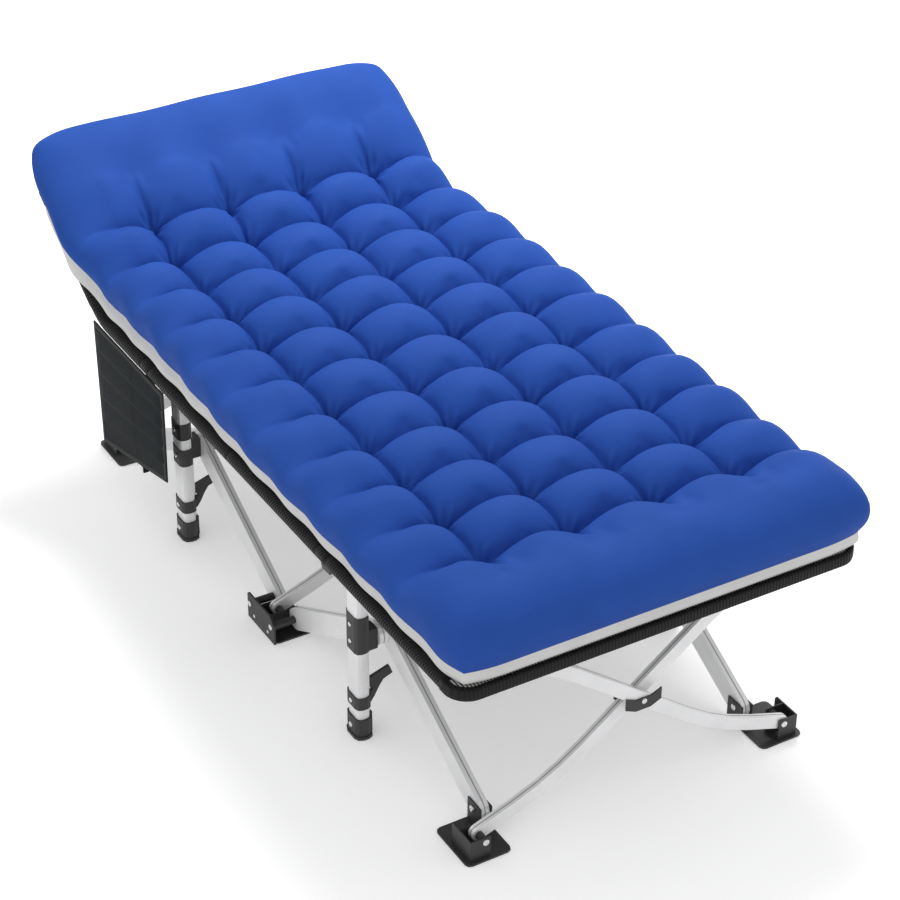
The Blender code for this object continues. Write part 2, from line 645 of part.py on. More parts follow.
def make_rail(side, end, reach):
    """Round tube with a slot and a pin at its hinge end, and a rounded cap at the other."""
    line = [(side * RAIL_X, a, b) for a, b in rail_line(end, reach)]
    sign = -1 if reach == "inner" else 1
    pin_y = end * (POST_Y + sign * HINGE_OFF)
    name = "rail_%s_%s_%s" % (END_NAME[end], reach, SIDE_NAME[side])
    rail = keep(name, tube(line, RAIL_R), (side * RAIL_X, pin_y, RAIL_Z), RAIL)
    slot = ordered(pin_y - end * sign * 0.012, pin_y + end * sign * 0.012)
    half = TONGUE / 2 + GAP
    boolean(rail, [box((side * RAIL_X - half, side * RAIL_X + half), slot, (RAIL_Z - 0.02, RAIL_Z + 0.02))],
            "DIFFERENCE")
    boolean(rail, [cylinder(0.003, "X", side * RAIL_X - 0.008, side * RAIL_X + 0.008, (pin_y, RAIL_Z), 12)],
            "UNION")


# Deck, pad and pocket

def deck_path():
    """Stations along the deck: place and slope of the rail's axis, and the inset of the round corners."""
    tip = BEND_Y + HEAD_RUN + 0.004
    turns = np.radians((90, 65, 40, 18))
    stations = [(-DECK_FOOT_Y + DECK_ROUND * (1 - math.sin(a)), RAIL_Z, 0.0, DECK_ROUND * (1 - math.cos(a)))
                for a in turns]
    stations += [(y, RAIL_Z, 0.0, 0.0) for y in (-DECK_FOOT_Y + DECK_ROUND, -0.50, 0.0, 0.50)]
    corner = np.array([BEND_Y, RAIL_Z])
    end_point = corner + np.array([HEAD_RUN, HEAD_RUN * math.tan(HEAD_ANGLE)])
    curve = round_corner((0.0, RAIL_Z), corner, end_point, 0.040, 4)
    for step, (y, z) in enumerate(curve):
        stations.append((y, z, HEAD_ANGLE * step / (len(curve) - 1), 0.0))
    middle = BEND_Y + HEAD_RUN / 2
    stations.append((middle, RAIL_Z + (middle - BEND_Y) * math.tan(HEAD_ANGLE), HEAD_ANGLE, 0.0))
    stations.append((tip, RAIL_Z + (tip - BEND_Y) * math.tan(HEAD_ANGLE), HEAD_ANGLE, 0.0))
    return stations


def deck_section():
    """The deck's section in X and height over the rail's axis: flat cloth wrapped round both rails."""
    radius = RAIL_R + GAP
    left = [(-RAIL_X + radius * math.cos(a), radius * math.sin(a)) for a in np.radians(range(240, 89, -30))]
    flat = [(x, radius) for x in np.linspace(-0.33, 0.33, 5)]
    right = [(-x, height) for x, height in left[::-1]]
    return left + flat + right


def make_deck():
    """Taut cloth carried along the rails, with a hem at the foot."""
    rows = []
    for y, z, slope, inset in deck_path():
        rows.append([(x - math.copysign(inset, x) * (abs(x) > 0.34),
                      y - h * math.sin(slope), z + h * math.cos(slope)) for x, h in deck_section()])
    grid = np.array(rows)
    count_v, count_u = grid.shape[:2]
    bm = bmesh.new()
    bmesh.ops.create_grid(bm, x_segments=count_u - 1, y_segments=count_v - 1, size=1.0)
    bm.verts.ensure_lookup_table()
    for vert in bm.verts:
        u = round((vert.co.x + 1) / 2 * (count_u - 1))
        v = round((vert.co.y + 1) / 2 * (count_v - 1))
        vert.co = grid[v, u]
    mesh = bpy.data.meshes.new("deck")
    bm.to_mesh(mesh)
    bm.free()
    deck = keep("deck", mesh, (0, 0, RAIL_Z), MESH)
    shell = deck.modifiers.new("cloth", "SOLIDIFY")
    shell.thickness = CLOTH
    shell.offset = 1.0
    top = RAIL_Z + RAIL_R + GAP + 0.002
    edge = -DECK_FOOT_Y
    reach = RAIL_X + RAIL_R - DECK_ROUND
    boolean(deck, [box((-reach, reach), (edge + 0.0004, edge + 0.004), (top - HEM, top))], "UNION")


def pad_base(y):
    """Height and slope of the pad's underside along the cot: flat, then up the raised head."""
    level = RAIL_Z + RAIL_R + CLOTH + 3 * GAP
    shift = (level - RAIL_Z) * math.tan(HEAD_ANGLE / 2)
    past = y - (BEND_Y - shift)
    blend = 0.040
    smooth = np.where(past > blend, past, np.where(past < -blend, 0.0, (past + blend) ** 2 / (4 * blend)))
    return level + smooth * math.tan(HEAD_ANGLE)


def pad_thickness(x, y):
    """Pad's depth over its seam: crown at the middle, round at the edges, drawn in at the tufts."""
    inset = np.minimum(PAD_HALF_W - np.abs(x), np.minimum(PAD_HEAD_Y - y, y + PAD_FOOT_Y))
    edge = np.clip(inset / 0.055, 0.0, 1.0)
    round_edge = np.sqrt(np.clip(1 - (1 - edge) ** 2, 0, 1))
    across = np.cos(math.pi * x / PUFF_X) ** 2
    along = np.cos(math.pi * y / PUFF_Y) ** 2
    puff = np.sqrt((across + along) / 2)
    tufted = np.clip((4.5 * PUFF_Y + 0.045 - np.abs(y)) / 0.045, 0, 1)
    inner = np.clip((2 * PUFF_X - np.abs(x)) / 0.05, 0, 1)
    dip = TUFT_DEPTH * (1 - puff) * tufted * inner
    return (PAD_CROWN - PAD_SEAM - dip) * round_edge


def pad_plan(x, y):
    """Plan of the pad: a corner's square patch is drawn onto a quarter disc."""
    end = PAD_HEAD_Y if y > 0 else PAD_FOOT_Y
    dx = max(abs(x) - (PAD_HALF_W - PAD_ROUND), 0.0) / PAD_ROUND
    dy = max(abs(y) - (end - PAD_ROUND), 0.0) / PAD_ROUND
    return (x - math.copysign(PAD_ROUND * dx * (1 - math.sqrt(1 - dy * dy / 2)), x),
            y - math.copysign(PAD_ROUND * dy * (1 - math.sqrt(1 - dx * dx / 2)), y))


def make_pad():
    """Loose tufted pad: a grid for its top, dropped to a flat underside."""
    half_x = np.concatenate([np.arange(0, 2.1, 0.25) * PUFF_X, PAD_HALF_W - np.array([0.020, 0.0])])
    tufts_y = np.arange(0, 4.6, 0.25) * PUFF_Y
    foot_y = np.concatenate([tufts_y, PAD_FOOT_Y - np.array([0.10, 0.055, 0.020, 0.0])])
    head_y = np.concatenate([tufts_y, PAD_HEAD_Y - np.array([0.14, 0.055, 0.020, 0.0])])
    xs = np.concatenate([-half_x[:0:-1], half_x])
    ys = np.concatenate([-foot_y[:0:-1], head_y])
    bm = bmesh.new()
    bmesh.ops.create_grid(bm, x_segments=len(xs) - 1, y_segments=len(ys) - 1, size=1.0)
    for vert in bm.verts:
        x = xs[round((vert.co.x + 1) / 2 * (len(xs) - 1))]
        y = ys[round((vert.co.y + 1) / 2 * (len(ys) - 1))]
        vert.co = (x, y, 0.0)
    down = bmesh.ops.extrude_face_region(bm, geom=bm.faces[:])
    lower = [item for item in down["geom"] if isinstance(item, bmesh.types.BMVert)]
    lower_set = set(lower)
    for vert in bm.verts:
        depth = float(pad_thickness(np.array(vert.co.x), np.array(vert.co.y)))
        x, y = pad_plan(vert.co.x, vert.co.y)
        base = float(pad_base(np.array(y)))
        vert.co = (x * 0.985, y * 0.992, base) if vert in lower_set else (x, y, base + PAD_SEAM + depth)
    bmesh.ops.dissolve_limit(bm, angle_limit=math.radians(0.5), verts=lower,
                             edges=[e for e in bm.edges if all(v in lower_set for v in e.verts)])
    keep("pad", mesh_of(bm), (0, 0, RAIL_Z), BLUE, smooth=60)


def make_pocket():
    """Side pocket: a hanging panel with an open pouch behind it, on the left rail near the head."""
    face = RAIL_X + RAIL_R + GAP + CLOTH
    top = RAIL_Z - 0.008
    panel = [(POCKET_Y[0], top), (POCKET_Y[0] + 0.008, POCKET_FOOT_Z), (POCKET_Y[1] - 0.012, POCKET_HEAD_Z),
             (POCKET_Y[1], POCKET_HEAD_Z + 0.012), (POCKET_Y[1], top)]
    pocket = keep("pocket", prism([panel], "X", -face, -face + FABRIC), (-RAIL_X, POST_Y + HINGE_OFF, RAIL_Z),
                  SLATE)
    pouch = rounded((-face + 0.0005, POUCH_Y[0]), (-face + POUCH_DEPTH, POUCH_Y[1]), 0.008, 3)
    hollow = rounded((-face + FABRIC, POUCH_Y[0] + FABRIC),
                     (-face + POUCH_DEPTH - FABRIC, POUCH_Y[1] - FABRIC), 0.006, 3)
    boolean(pocket, [
        prism([pouch, hollow], "Z", POUCH_Z[0], POUCH_Z[1]),
        prism([pouch], "Z", POUCH_Z[0] - FABRIC, POUCH_Z[0] + 0.0004),
    ], "UNION")


def main():
    for place, end in (("foot", FOOT), ("middle", 0), ("head", HEAD)):
        make_x_frame(end, place)
    for side in (LEFT, RIGHT):
        make_middle_bracket(side)
        for end in (FOOT, HEAD):
            make_corner_bracket(side, end)
            make_post(side, end)
            for reach in ("inner", "outer"):
                make_side_bar(side, end, reach)
                make_rail(side, end, reach)
    make_deck()
    make_pad()
    make_pocket()


main()
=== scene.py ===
"""Looks for the folding camping cot: tufted pad, striped mesh deck, pocket, tubes and mouldings.

X runs across the cot, Y along it towards the raised head, and Z is up from the floor, all in metres.
"""
import math

import bmesh
import bpy
import numpy as np
from mathutils import Matrix


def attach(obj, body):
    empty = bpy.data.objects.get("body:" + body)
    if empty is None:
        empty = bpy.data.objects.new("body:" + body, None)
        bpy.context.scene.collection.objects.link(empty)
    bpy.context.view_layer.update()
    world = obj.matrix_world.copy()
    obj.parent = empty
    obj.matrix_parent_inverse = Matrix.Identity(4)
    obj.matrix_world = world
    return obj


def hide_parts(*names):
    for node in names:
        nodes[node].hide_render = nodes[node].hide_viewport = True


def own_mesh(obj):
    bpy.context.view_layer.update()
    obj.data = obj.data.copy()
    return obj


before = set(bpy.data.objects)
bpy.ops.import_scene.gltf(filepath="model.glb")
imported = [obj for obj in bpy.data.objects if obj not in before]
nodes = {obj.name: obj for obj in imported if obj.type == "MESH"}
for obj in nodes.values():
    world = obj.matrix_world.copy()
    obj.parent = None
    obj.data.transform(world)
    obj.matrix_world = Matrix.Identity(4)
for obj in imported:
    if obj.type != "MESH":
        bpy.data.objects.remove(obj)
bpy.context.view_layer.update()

# Places shared with the frame
LEFT, RIGHT = -1, 1
FOOT, HEAD = -1, 1
SIDE = {LEFT: "left", RIGHT: "right"}
END = {FOOT: "foot", HEAD: "head"}
RAIL_X, RAIL_Z, RAIL_R = 0.4115, 0.427, 0.011
BEND_Y, HEAD_SLOPE = 0.614, math.radians(33.0)
HEAD_RUN, FOOT_Y = 0.270, -0.8535
POST_Y, HINGE_OFF = 0.3785, 0.020
PIN_Z, APEX_Z, STATION_Y = 0.0375, 0.218, 0.778
FOOT_ROUND, FOOT_TURN = 0.045, 0.8115
PAD_W, PAD_HEAD, PAD_FOOT = 0.411, 0.902, 0.850


# Meshes from numpy grids

def mesh_from(name, points, faces):
    """Smooth mesh from a points array and rows of vertex numbers."""
    mesh = bpy.data.meshes.new(name)
    corners = [list(map(int, face)) for face in faces]
    mesh.from_pydata(np.asarray(points, float).reshape(-1, 3).tolist(), [], corners)
    mesh.polygons.foreach_set("use_smooth", np.full(len(mesh.polygons), True))
    mesh.update()
    return mesh


def grid_faces(rows, columns, wrap_rows=False, wrap_columns=False, start=0):
    """Quads of a grid of vertices in row order; wrap joins the last row or column to the first one."""
    number = np.arange(rows * columns).reshape(rows, columns) + start
    if wrap_rows:
        number = np.concatenate([number, number[:1]])
    if wrap_columns:
        number = np.concatenate([number, number[:, :1]], axis=1)
    quads = np.stack([number[:-1, :-1], number[:-1, 1:], number[1:, 1:], number[1:, :-1]], axis=-1)
    return quads.reshape(-1, 4)


def fix_normals(mesh, weld=0.0):
    """Turn the faces of a closed mesh outwards, and first join the points that lie closer than weld."""
    bm = bmesh.new()
    bm.from_mesh(mesh)
    if weld:
        bmesh.ops.remove_doubles(bm, verts=bm.verts, dist=weld)
    bmesh.ops.recalc_face_normals(bm, faces=bm.faces)
    bm.to_mesh(mesh)
    bm.free()


def thicken(piece, thickness, offset=-1.0):
    """Give a sheet its thickness, inwards from its faces unless the offset says otherwise."""
    wall = piece.modifiers.new("wall", "SOLIDIFY")
    wall.thickness = thickness
    wall.offset = offset


def shown(name, mesh, body, materials):
    """A finished piece at the origin, riding on a body."""
    piece = bpy.data.objects.new(name, mesh)
    bpy.context.scene.collection.objects.link(piece)
    for material in materials:
        mesh.materials.append(material)
    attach(piece, body)
    return piece


# Shader helpers

def add(tree, kind, **settings):
    """A node with its settings; a name with an underscore in front sets an input socket."""
    node = tree.nodes.new(kind)
    for key, value in settings.items():
        if key.startswith("_"):
            node.inputs[key[1:].replace("_", " ")].default_value = value
        else:
            setattr(node, key, value)
    return node


def math_node(tree, operation, *values):
    """The result of a math node whose inputs are numbers or other nodes' results."""
    node = add(tree, "ShaderNodeMath", operation=operation)
    for socket, value in zip(node.inputs, values):
        if isinstance(value, (int, float)):
            socket.default_value = value
        else:
            tree.links.new(value, socket)
    return node.outputs[0]


def group_of(name, numbers, results, vector=False):
    """An empty node group with number inputs and outputs; returned with its input node and output node."""
    tree = bpy.data.node_groups.new(name, "ShaderNodeTree")
    if vector:
        tree.interface.new_socket("Vector", in_out="INPUT", socket_type="NodeSocketVector")
    for label, value in numbers.items():
        tree.interface.new_socket(label, in_out="INPUT", socket_type="NodeSocketFloat").default_value = value
    for label in results:
        tree.interface.new_socket(label, in_out="OUTPUT", socket_type="NodeSocketFloat")
    return tree, add(tree, "NodeGroupInput"), add(tree, "NodeGroupOutput")


def make_material(name, colour, roughness, metallic=0.0, **fixed):
    """A Principled material; the rest of its values are set on the shader itself."""
    material = bpy.data.materials.new(name)
    material.use_nodes = True
    shader = material.node_tree.nodes["Principled BSDF"]
    shader.inputs["Base Color"].default_value = (*colour, 1.0)
    shader.inputs["Roughness"].default_value = roughness
    shader.inputs["Metallic"].default_value = metallic
    for key, value in fixed.items():
        shader.inputs[key.replace("_", " ")].default_value = value
    return material


def grain_group():
    """Group that turns a place on the piece into a soft tone near 1, and a fine height between 0 and 1."""
    tree, start, stop = group_of("grain", {"Scale": 900.0}, ["Tone", "Height"], vector=True)
    broad = add(tree, "ShaderNodeTexNoise", _Scale=14.0, _Detail=2.0)
    fine = add(tree, "ShaderNodeTexNoise", _Detail=3.0, _Roughness=0.6)
    tone = add(tree, "ShaderNodeMapRange", _To_Min=0.9, _To_Max=1.1)
    tree.links.new(start.outputs["Vector"], broad.inputs["Vector"])
    tree.links.new(start.outputs["Vector"], fine.inputs["Vector"])
    tree.links.new(start.outputs["Scale"], fine.inputs["Scale"])
    tree.links.new(broad.outputs["Fac"], tone.inputs["Value"])
    tree.links.new(tone.outputs["Result"], stop.inputs["Tone"])
    tree.links.new(fine.outputs["Fac"], stop.inputs["Height"])
    return tree


def ribs_group():
    """Group of soft ribs: a cosine along one axis at a pitch, as a height and as a mask of its upper part."""
    tree, start, stop = group_of("ribs", {"Along": 0.0, "Pitch": 0.004, "Width": 0.5}, ["Mask", "Height"])
    turns = math_node(tree, "DIVIDE", start.outputs["Along"], start.outputs["Pitch"])
    wave = math_node(tree, "COSINE", math_node(tree, "MULTIPLY", turns, 2 * math.pi))
    half = math_node(tree, "MULTIPLY_ADD", wave, 0.5, 0.5)
    mask = add(tree, "ShaderNodeMapRange", interpolation_type="SMOOTHSTEP")
    link = tree.links.new
    link(half, mask.inputs["Value"])
    link(math_node(tree, "SUBTRACT", 0.9, start.outputs["Width"]), mask.inputs["From Min"])
    link(math_node(tree, "SUBTRACT", 1.2, start.outputs["Width"]), mask.inputs["From Max"])
    link(mask.outputs["Result"], stop.inputs["Mask"])
    link(half, stop.inputs["Height"])
    return tree


def groove_group():
    """Group that marks a fine line down each bar of a pair, a set way to either side of the pair's middle,
    where the bars' grooves get painted shade.
    """
    tree, start, stop = group_of("groove", {"Across": 0.0, "Middle": 0.0}, ["Mask"])
    outward = math_node(tree, "ABSOLUTE", start.outputs["Across"])
    apart = math_node(tree, "ABSOLUTE", math_node(tree, "SUBTRACT", outward, start.outputs["Middle"]))
    off = math_node(tree, "ABSOLUTE", math_node(tree, "SUBTRACT", apart, GROOVE_OFF))
    mask = add(tree, "ShaderNodeMapRange", interpolation_type="SMOOTHSTEP", _From_Min=0.0008,
               _From_Max=0.0016, _To_Min=1.0, _To_Max=0.0)
    tree.links.new(off, mask.inputs["Value"])
    tree.links.new(mask.outputs["Result"], stop.inputs["Mask"])
    return tree


GROOVE_OFF = 0.0095
GRAIN = grain_group()
RIBS = ribs_group()
# Painted shade down the tubes' grooves: a dark line a set way from a pair's middle.
GROOVE_SHADE = groove_group()


class Finish:
    """A material under construction: its node tree, its Principled shader and the piece's own coordinates."""

    def __init__(self, name, colour, roughness, metallic=0.0, **fixed):
        self.material = make_material(name, colour, roughness, metallic, **fixed)
        self.tree = self.material.node_tree
        self.colour = colour
        self.shader = self.tree.nodes["Principled BSDF"]
        self.place = add(self.tree, "ShaderNodeTexCoord").outputs["Object"]

    def link(self, a, b):
        self.tree.links.new(a, b)

    def node(self, kind, **settings):
        return add(self.tree, kind, **settings)

    def turned(self, rotation=(0, 0, 0), scale=(1, 1, 1)):
        """The piece's coordinates, turned and stretched."""
        mapping = self.node("ShaderNodeMapping", _Rotation=rotation, _Scale=scale)
        self.link(self.place, mapping.inputs["Vector"])
        return mapping.outputs["Vector"]

    def group(self, tree, vector=None, **values):
        """One of the shared groups with this material's own values."""
        node = self.node("ShaderNodeGroup", node_tree=tree)
        for key, value in values.items():
            if isinstance(value, (int, float)):
                node.inputs[key].default_value = value
            else:
                self.link(value, node.inputs[key])
        if vector is not None:
            self.link(vector, node.inputs["Vector"])
        return node.outputs

    def fill(self, socket, colour):
        """Set a socket to a colour, or link it to another node's colour."""
        if isinstance(colour, tuple):
            socket.default_value = (*colour, 1.0)
        else:
            self.link(colour, socket)

    def tint(self, colour, tone):
        """A colour made lighter and darker by a tone."""
        mix = self.node("ShaderNodeMix", data_type="RGBA", blend_type="MULTIPLY", clamp_factor=True)
        mix.inputs["Factor"].default_value = 1.0
        self.fill(mix.inputs["A"], colour)
        self.link(tone, mix.inputs["B"])
        return mix.outputs["Result"]

    def between(self, mask, low, high):
        """Colour low where the mask is 0 and high where it is 1."""
        mix = self.node("ShaderNodeMix", data_type="RGBA")
        self.fill(mix.inputs["A"], low)
        self.fill(mix.inputs["B"], high)
        self.link(mask, mix.inputs["Factor"])
        return mix.outputs["Result"]

    def paint(self, colour):
        """Give the shader its colour."""
        self.link(colour, self.shader.inputs["Base Color"])

    def rough(self, tone, low, high):
        """Roughness from low to high as the tone goes from 0 to 1."""
        span = self.node("ShaderNodeMapRange", _To_Min=low, _To_Max=high)
        self.link(tone, span.inputs["Value"])
        self.link(span.outputs["Result"], self.shader.inputs["Roughness"])

    def bump(self, height, distance, strength=1.0, under=None):
        """Adds a bump over the one before it."""
        node = self.node("ShaderNodeBump", _Distance=distance, _Strength=strength)
        self.link(height, node.inputs["Height"])
        if under is not None:
            self.link(under, node.inputs["Normal"])
        self.link(node.outputs["Normal"], self.shader.inputs["Normal"])
        return node.outputs["Normal"]

    def axis(self, letter, vector=None):
        """One coordinate of the piece's own place, or of another vector."""
        split = self.node("ShaderNodeSeparateXYZ")
        self.link(self.place if vector is None else vector, split.inputs["Vector"])
        return split.outputs[letter]


def pad_cloth():
    """Brushed blue cloth: soft tone and fine fibre, with hardly any shine."""
    cloth = Finish("pad_blue", (0.024, 0.082, 0.375), 0.6, Specular_IOR_Level=0.05)
    fibre = cloth.group(GRAIN, cloth.place, Scale=1500.0)
    cloth.paint(cloth.tint(cloth.colour, fibre["Tone"]))
    cloth.rough(fibre["Height"], 0.50, 0.70)
    cloth.bump(fibre["Height"], 0.0004, 0.6)
    return cloth.material


def pale_cloth():
    """Plain pale cloth of the pad's edge and underside."""
    cloth = Finish("pad_underside", (0.70, 0.70, 0.685), 0.85, Specular_IOR_Level=0.1)
    fibre = cloth.group(GRAIN, cloth.place, Scale=700.0)
    cloth.paint(cloth.tint(cloth.colour, fibre["Tone"]))
    cloth.bump(fibre["Height"], 0.0006, 0.7)
    return cloth.material


def striped_cloth():
    """Coated mesh: grey stripes along the cot on black, with threads across."""
    cloth = Finish("deck_stripes", (0.02, 0.02, 0.02), 0.6)
    stripe = cloth.group(RIBS, Along=cloth.axis("X"), Pitch=0.0062, Width=0.62)
    thread = cloth.group(RIBS, Along=cloth.axis("Y"), Pitch=0.0016, Width=0.55)
    tone = cloth.between(stripe["Mask"], (0.008, 0.008, 0.008), (0.42, 0.43, 0.41))
    cloth.paint(cloth.tint(tone, cloth.group(GRAIN, cloth.place, Scale=500.0)["Tone"]))
    normal = cloth.bump(stripe["Height"], 0.0006, 0.6)
    cloth.bump(thread["Height"], 0.0004, 0.5, normal)
    return cloth.material


RIB_SLANT = 0.5


def ribbed_edge():
    """Black ribbed binding round the rails, with its ribs a little aslant; their tops are painted lighter and
    their furrows darker, as painted highlight and shade.
    """
    cloth = Finish("edge_binding", (0.012, 0.012, 0.012), 0.5, Specular_IOR_Level=0.2)
    rib = cloth.group(RIBS, Along=cloth.axis("Y", cloth.turned((0, 0, RIB_SLANT))), Pitch=0.0062, Width=0.5)
    # Painted highlight on the ribs' tops and painted shade in their furrows.
    cloth.paint(cloth.between(rib["Mask"], (0.001, 0.001, 0.001), (0.014, 0.014, 0.014)))
    cloth.bump(rib["Height"], 0.0016, 1.0)
    return cloth.material


def hem_cloth():
    """Black hem at both ends, with upright ribs whose tops are painted lighter and furrows darker, as painted
    highlight and shade.
    """
    cloth = Finish("hem_black", (0.006, 0.006, 0.006), 0.65, Specular_IOR_Level=0.25)
    rib = cloth.group(RIBS, Along=cloth.axis("X"), Pitch=0.0068, Width=0.5)
    # Painted highlight on the ribs' tops and painted shade in their furrows.
    cloth.paint(cloth.between(rib["Mask"], (0.001, 0.001, 0.001), (0.006, 0.006, 0.006)))
    cloth.bump(rib["Height"], 0.0012, 0.9)
    return cloth.material


def pocket_mesh():
    """Slate mesh: pale dots where the slanting threads cross, on black, with painted shade along the sewn
    pleats, and darker along the upright seam.
    """
    cloth = Finish("pocket_slate", (0.02, 0.03, 0.035), 0.75, Specular_IOR_Level=0.15)
    tilted = cloth.turned((math.radians(38), 0, 0))
    one, two = (cloth.group(RIBS, Along=cloth.axis(letter, tilted), Pitch=0.0036, Width=0.62)["Mask"]
                for letter in "YZ")
    dots = math_node(cloth.tree, "MULTIPLY", one, two)
    # Painted shade: the pleat attribute darkens the slate in the folds of the pleats, and along the upright
    # seam.
    pleat = cloth.node("ShaderNodeAttribute", attribute_name="pleat")
    shade = cloth.node("ShaderNodeMapRange", _To_Min=1.0, _To_Max=0.12)
    cloth.link(pleat.outputs["Fac"], shade.inputs["Value"])
    weave = cloth.between(dots, (0.001, 0.002, 0.003), (0.022, 0.032, 0.039))
    cloth.paint(cloth.tint(weave, shade.outputs["Result"]))
    cloth.bump(dots, 0.0005, 0.7)
    return cloth.material


def tape_cloth():
    """Plain black tape round the pocket."""
    cloth = Finish("pocket_tape", (0.010, 0.011, 0.012), 0.8)
    fibre = cloth.group(GRAIN, cloth.place, Scale=900.0)
    cloth.paint(cloth.tint(cloth.colour, fibre["Tone"]))
    cloth.bump(fibre["Height"], 0.0005, 0.6)
    return cloth.material


def drawn_metal(name, rotation, colour=(0.90, 0.90, 0.91), metallic=0.22, low=0.36, high=0.50,
                groove=None):
    """Anodised tube: fine lines drawn along its length, with an even satin shine between low and high.

    The last argument gives painted shade: a dark line down the grooves of each bar of a pair, given as the
    letter of the axis across it and the pair's middle.
    """
    metal = Finish(name, colour, 0.42, metallic)
    lines = metal.group(GRAIN, metal.turned(rotation, (0.02, 1.0, 1.0)), Scale=420.0)
    tint = metal.tint(colour, metal.group(GRAIN, metal.place, Scale=60.0)["Tone"])
    if groove:
        mask = metal.group(GROOVE_SHADE, Across=metal.axis(groove[0]), Middle=groove[1])["Mask"]
        # Painted shade in the grooves: the tube's colour turns dark grey along the line.
        tint = metal.between(mask, tint, (0.36, 0.36, 0.37))
    metal.paint(tint)
    metal.rough(lines["Height"], low, high)
    metal.bump(lines["Height"], 0.0002, 0.35)
    return metal.material


def moulding():
    """Black moulded plastic with a fine spark-eroded grain."""
    plastic = Finish("black_moulding", (0.026, 0.026, 0.027), 0.48)
    grain = plastic.group(GRAIN, plastic.place, Scale=1400.0)
    plastic.paint(plastic.tint(plastic.colour, grain["Tone"]))
    plastic.rough(grain["Height"], 0.40, 0.60)
    plastic.bump(grain["Height"], 0.0003, 0.7)
    return plastic.material


blue = pad_cloth()
pale = pale_cloth()
stripes = striped_cloth()
binding = ribbed_edge()
hem_black = hem_cloth()
slate = pocket_mesh()
tape = tape_cloth()
black = moulding()
steel = drawn_metal("screw_steel", (0, 0, 0), (0.72, 0.72, 0.72), 0.9, 0.2, 0.3)
black_tube = drawn_metal("black_tube", (0, 0, math.pi / 2), (0.03, 0.03, 0.03), 0.2, 0.42, 0.55)

# Finishes of the frame's own nodes: the lines of a drawn tube run along it
SIDE_BARS_X, SIDE_BAR_RUN = 0.298, 0.3325
SIDE_SLOPE = math.atan2(APEX_Z - PIN_Z, SIDE_BAR_RUN)
CROSS = {"foot": math.radians(37.3), "middle": math.radians(37.3), "head": math.radians(41.0)}


def finish_nodes():
    """Give every node of the frame its material: silver bars and posts, black tubes and mouldings."""
    upright = drawn_metal("post_silver", (0, math.pi / 2, 0))
    rising = {}
    # The side bars and cross bars get painted shade down their grooves.
    for sign in (-1, 1):
        rising["side", sign] = drawn_metal("side_bar_silver_%s" % ("up" if sign > 0 else "down"),
                                           (-sign * SIDE_SLOPE, 0, -math.pi / 2), groove=("X", SIDE_BARS_X))
    for place, slope in CROSS.items():
        for letter, sign in (("a", 1), ("b", -1)):
            rising[place, letter] = drawn_metal("x_bar_silver_%s_%s" % (place, letter), (0, sign * slope, 0),
                                                groove=("Y", 0.0 if place == "middle" else STATION_Y))
    for name, node in nodes.items():
        words = name.split("_")
        if name.startswith("x_bar"):
            finish = rising[words[2], words[3]]
        elif name.startswith("side_bar"):
            outward = 1 if words[2] == "head" else -1
            finish = rising["side", outward * (1 if words[3] == "inner" else -1)]
        elif name.startswith("post_") and len(words) == 3:
            finish = upright
        elif name.startswith("rail"):
            finish = black_tube
        else:
            finish = black
        node.data.materials.clear()
        node.data.materials.append(finish)


finish_nodes()

# Pad

# Seam over the underside and crown over the seam; the foot end is fuller and the head end flatter
SEAM_UP, CROWN = 0.027, 0.108
FOOT_FULLER, HEAD_FLATTER = 0.12, 0.15
# Corners in plan, extra width of the right side, and how far the left seam is drawn in
PLAN_ROUND, SIDE_WIDER, DRAWN_IN = 0.085, 0.022, 0.016
# The side's arc from the seam to the crown
EDGE_DEEP, EDGE_START = 0.085, math.radians(-40)
EDGE_WIDE = EDGE_DEEP * math.cos(EDGE_START)
# The side's slow wave from puff to puff
RIPPLE, RIPPLE_PITCH = 0.0022, 0.1382
# Tufts, the half puffs past the outer ones, and the cells of the grid from line to line
TUFTS_X = np.array([-0.256, -0.080, 0.096, 0.270])
TUFTS_Y = np.array([-0.652, -0.519, -0.383, -0.248, -0.106, 0.038, 0.175, 0.311, 0.449, 0.583, 0.684])
PAST_X, PAST_Y = (0.075, 0.105), (0.080, 0.085)
CELLS_X, CELLS_Y = [18] * 5, [22] + [16] * 9 + [13, 24]
# Lengths over which the creases fade out past the outer tufts, on the left and right, at the foot and head
FADE_X, FADE_Y = (0.32, 0.46), (0.15, 0.21)
# Height left at a tuft, and how steeply a puff rises from it
TUFT_LEFT, PUFF_STEEP = 0.15, 1.25
# Where the pad hangs over the left rail: how far out, and its lumps
HANG_OUT, LUMP = 0.019, 0.0015
# Cloth pass: number of frames, and the longest move that is kept
CLOTH_FRAMES, SWELL_CAP = 20, 0.006
# Pleats: height, distance from the tuft and width of their ring; and the pit's depth and radius
PLEAT_HIGH, PLEAT_OFF, PLEAT_WIDE = 0.0030, 0.018, 0.014
PIT_DEEP, PIT_WIDE = 0.006, 0.008


def smooth(share):
    """Smooth step from 0 to 1."""
    share = np.clip(share, 0, 1)
    return share ** 2 * (3 - 2 * share)


def underside(y):
    """Height of the pad's underside: flat on the deck, then by a short parabola up the raised head."""
    level = RAIL_Z + RAIL_R + 0.0034
    past = y - (BEND_Y - (level - RAIL_Z) * math.tan(HEAD_SLOPE / 2))
    soft = np.where(past > 0.05, past, np.where(past < -0.05, 0.0, (past + 0.05) ** 2 / 0.2))
    return level + soft * math.tan(HEAD_SLOPE)


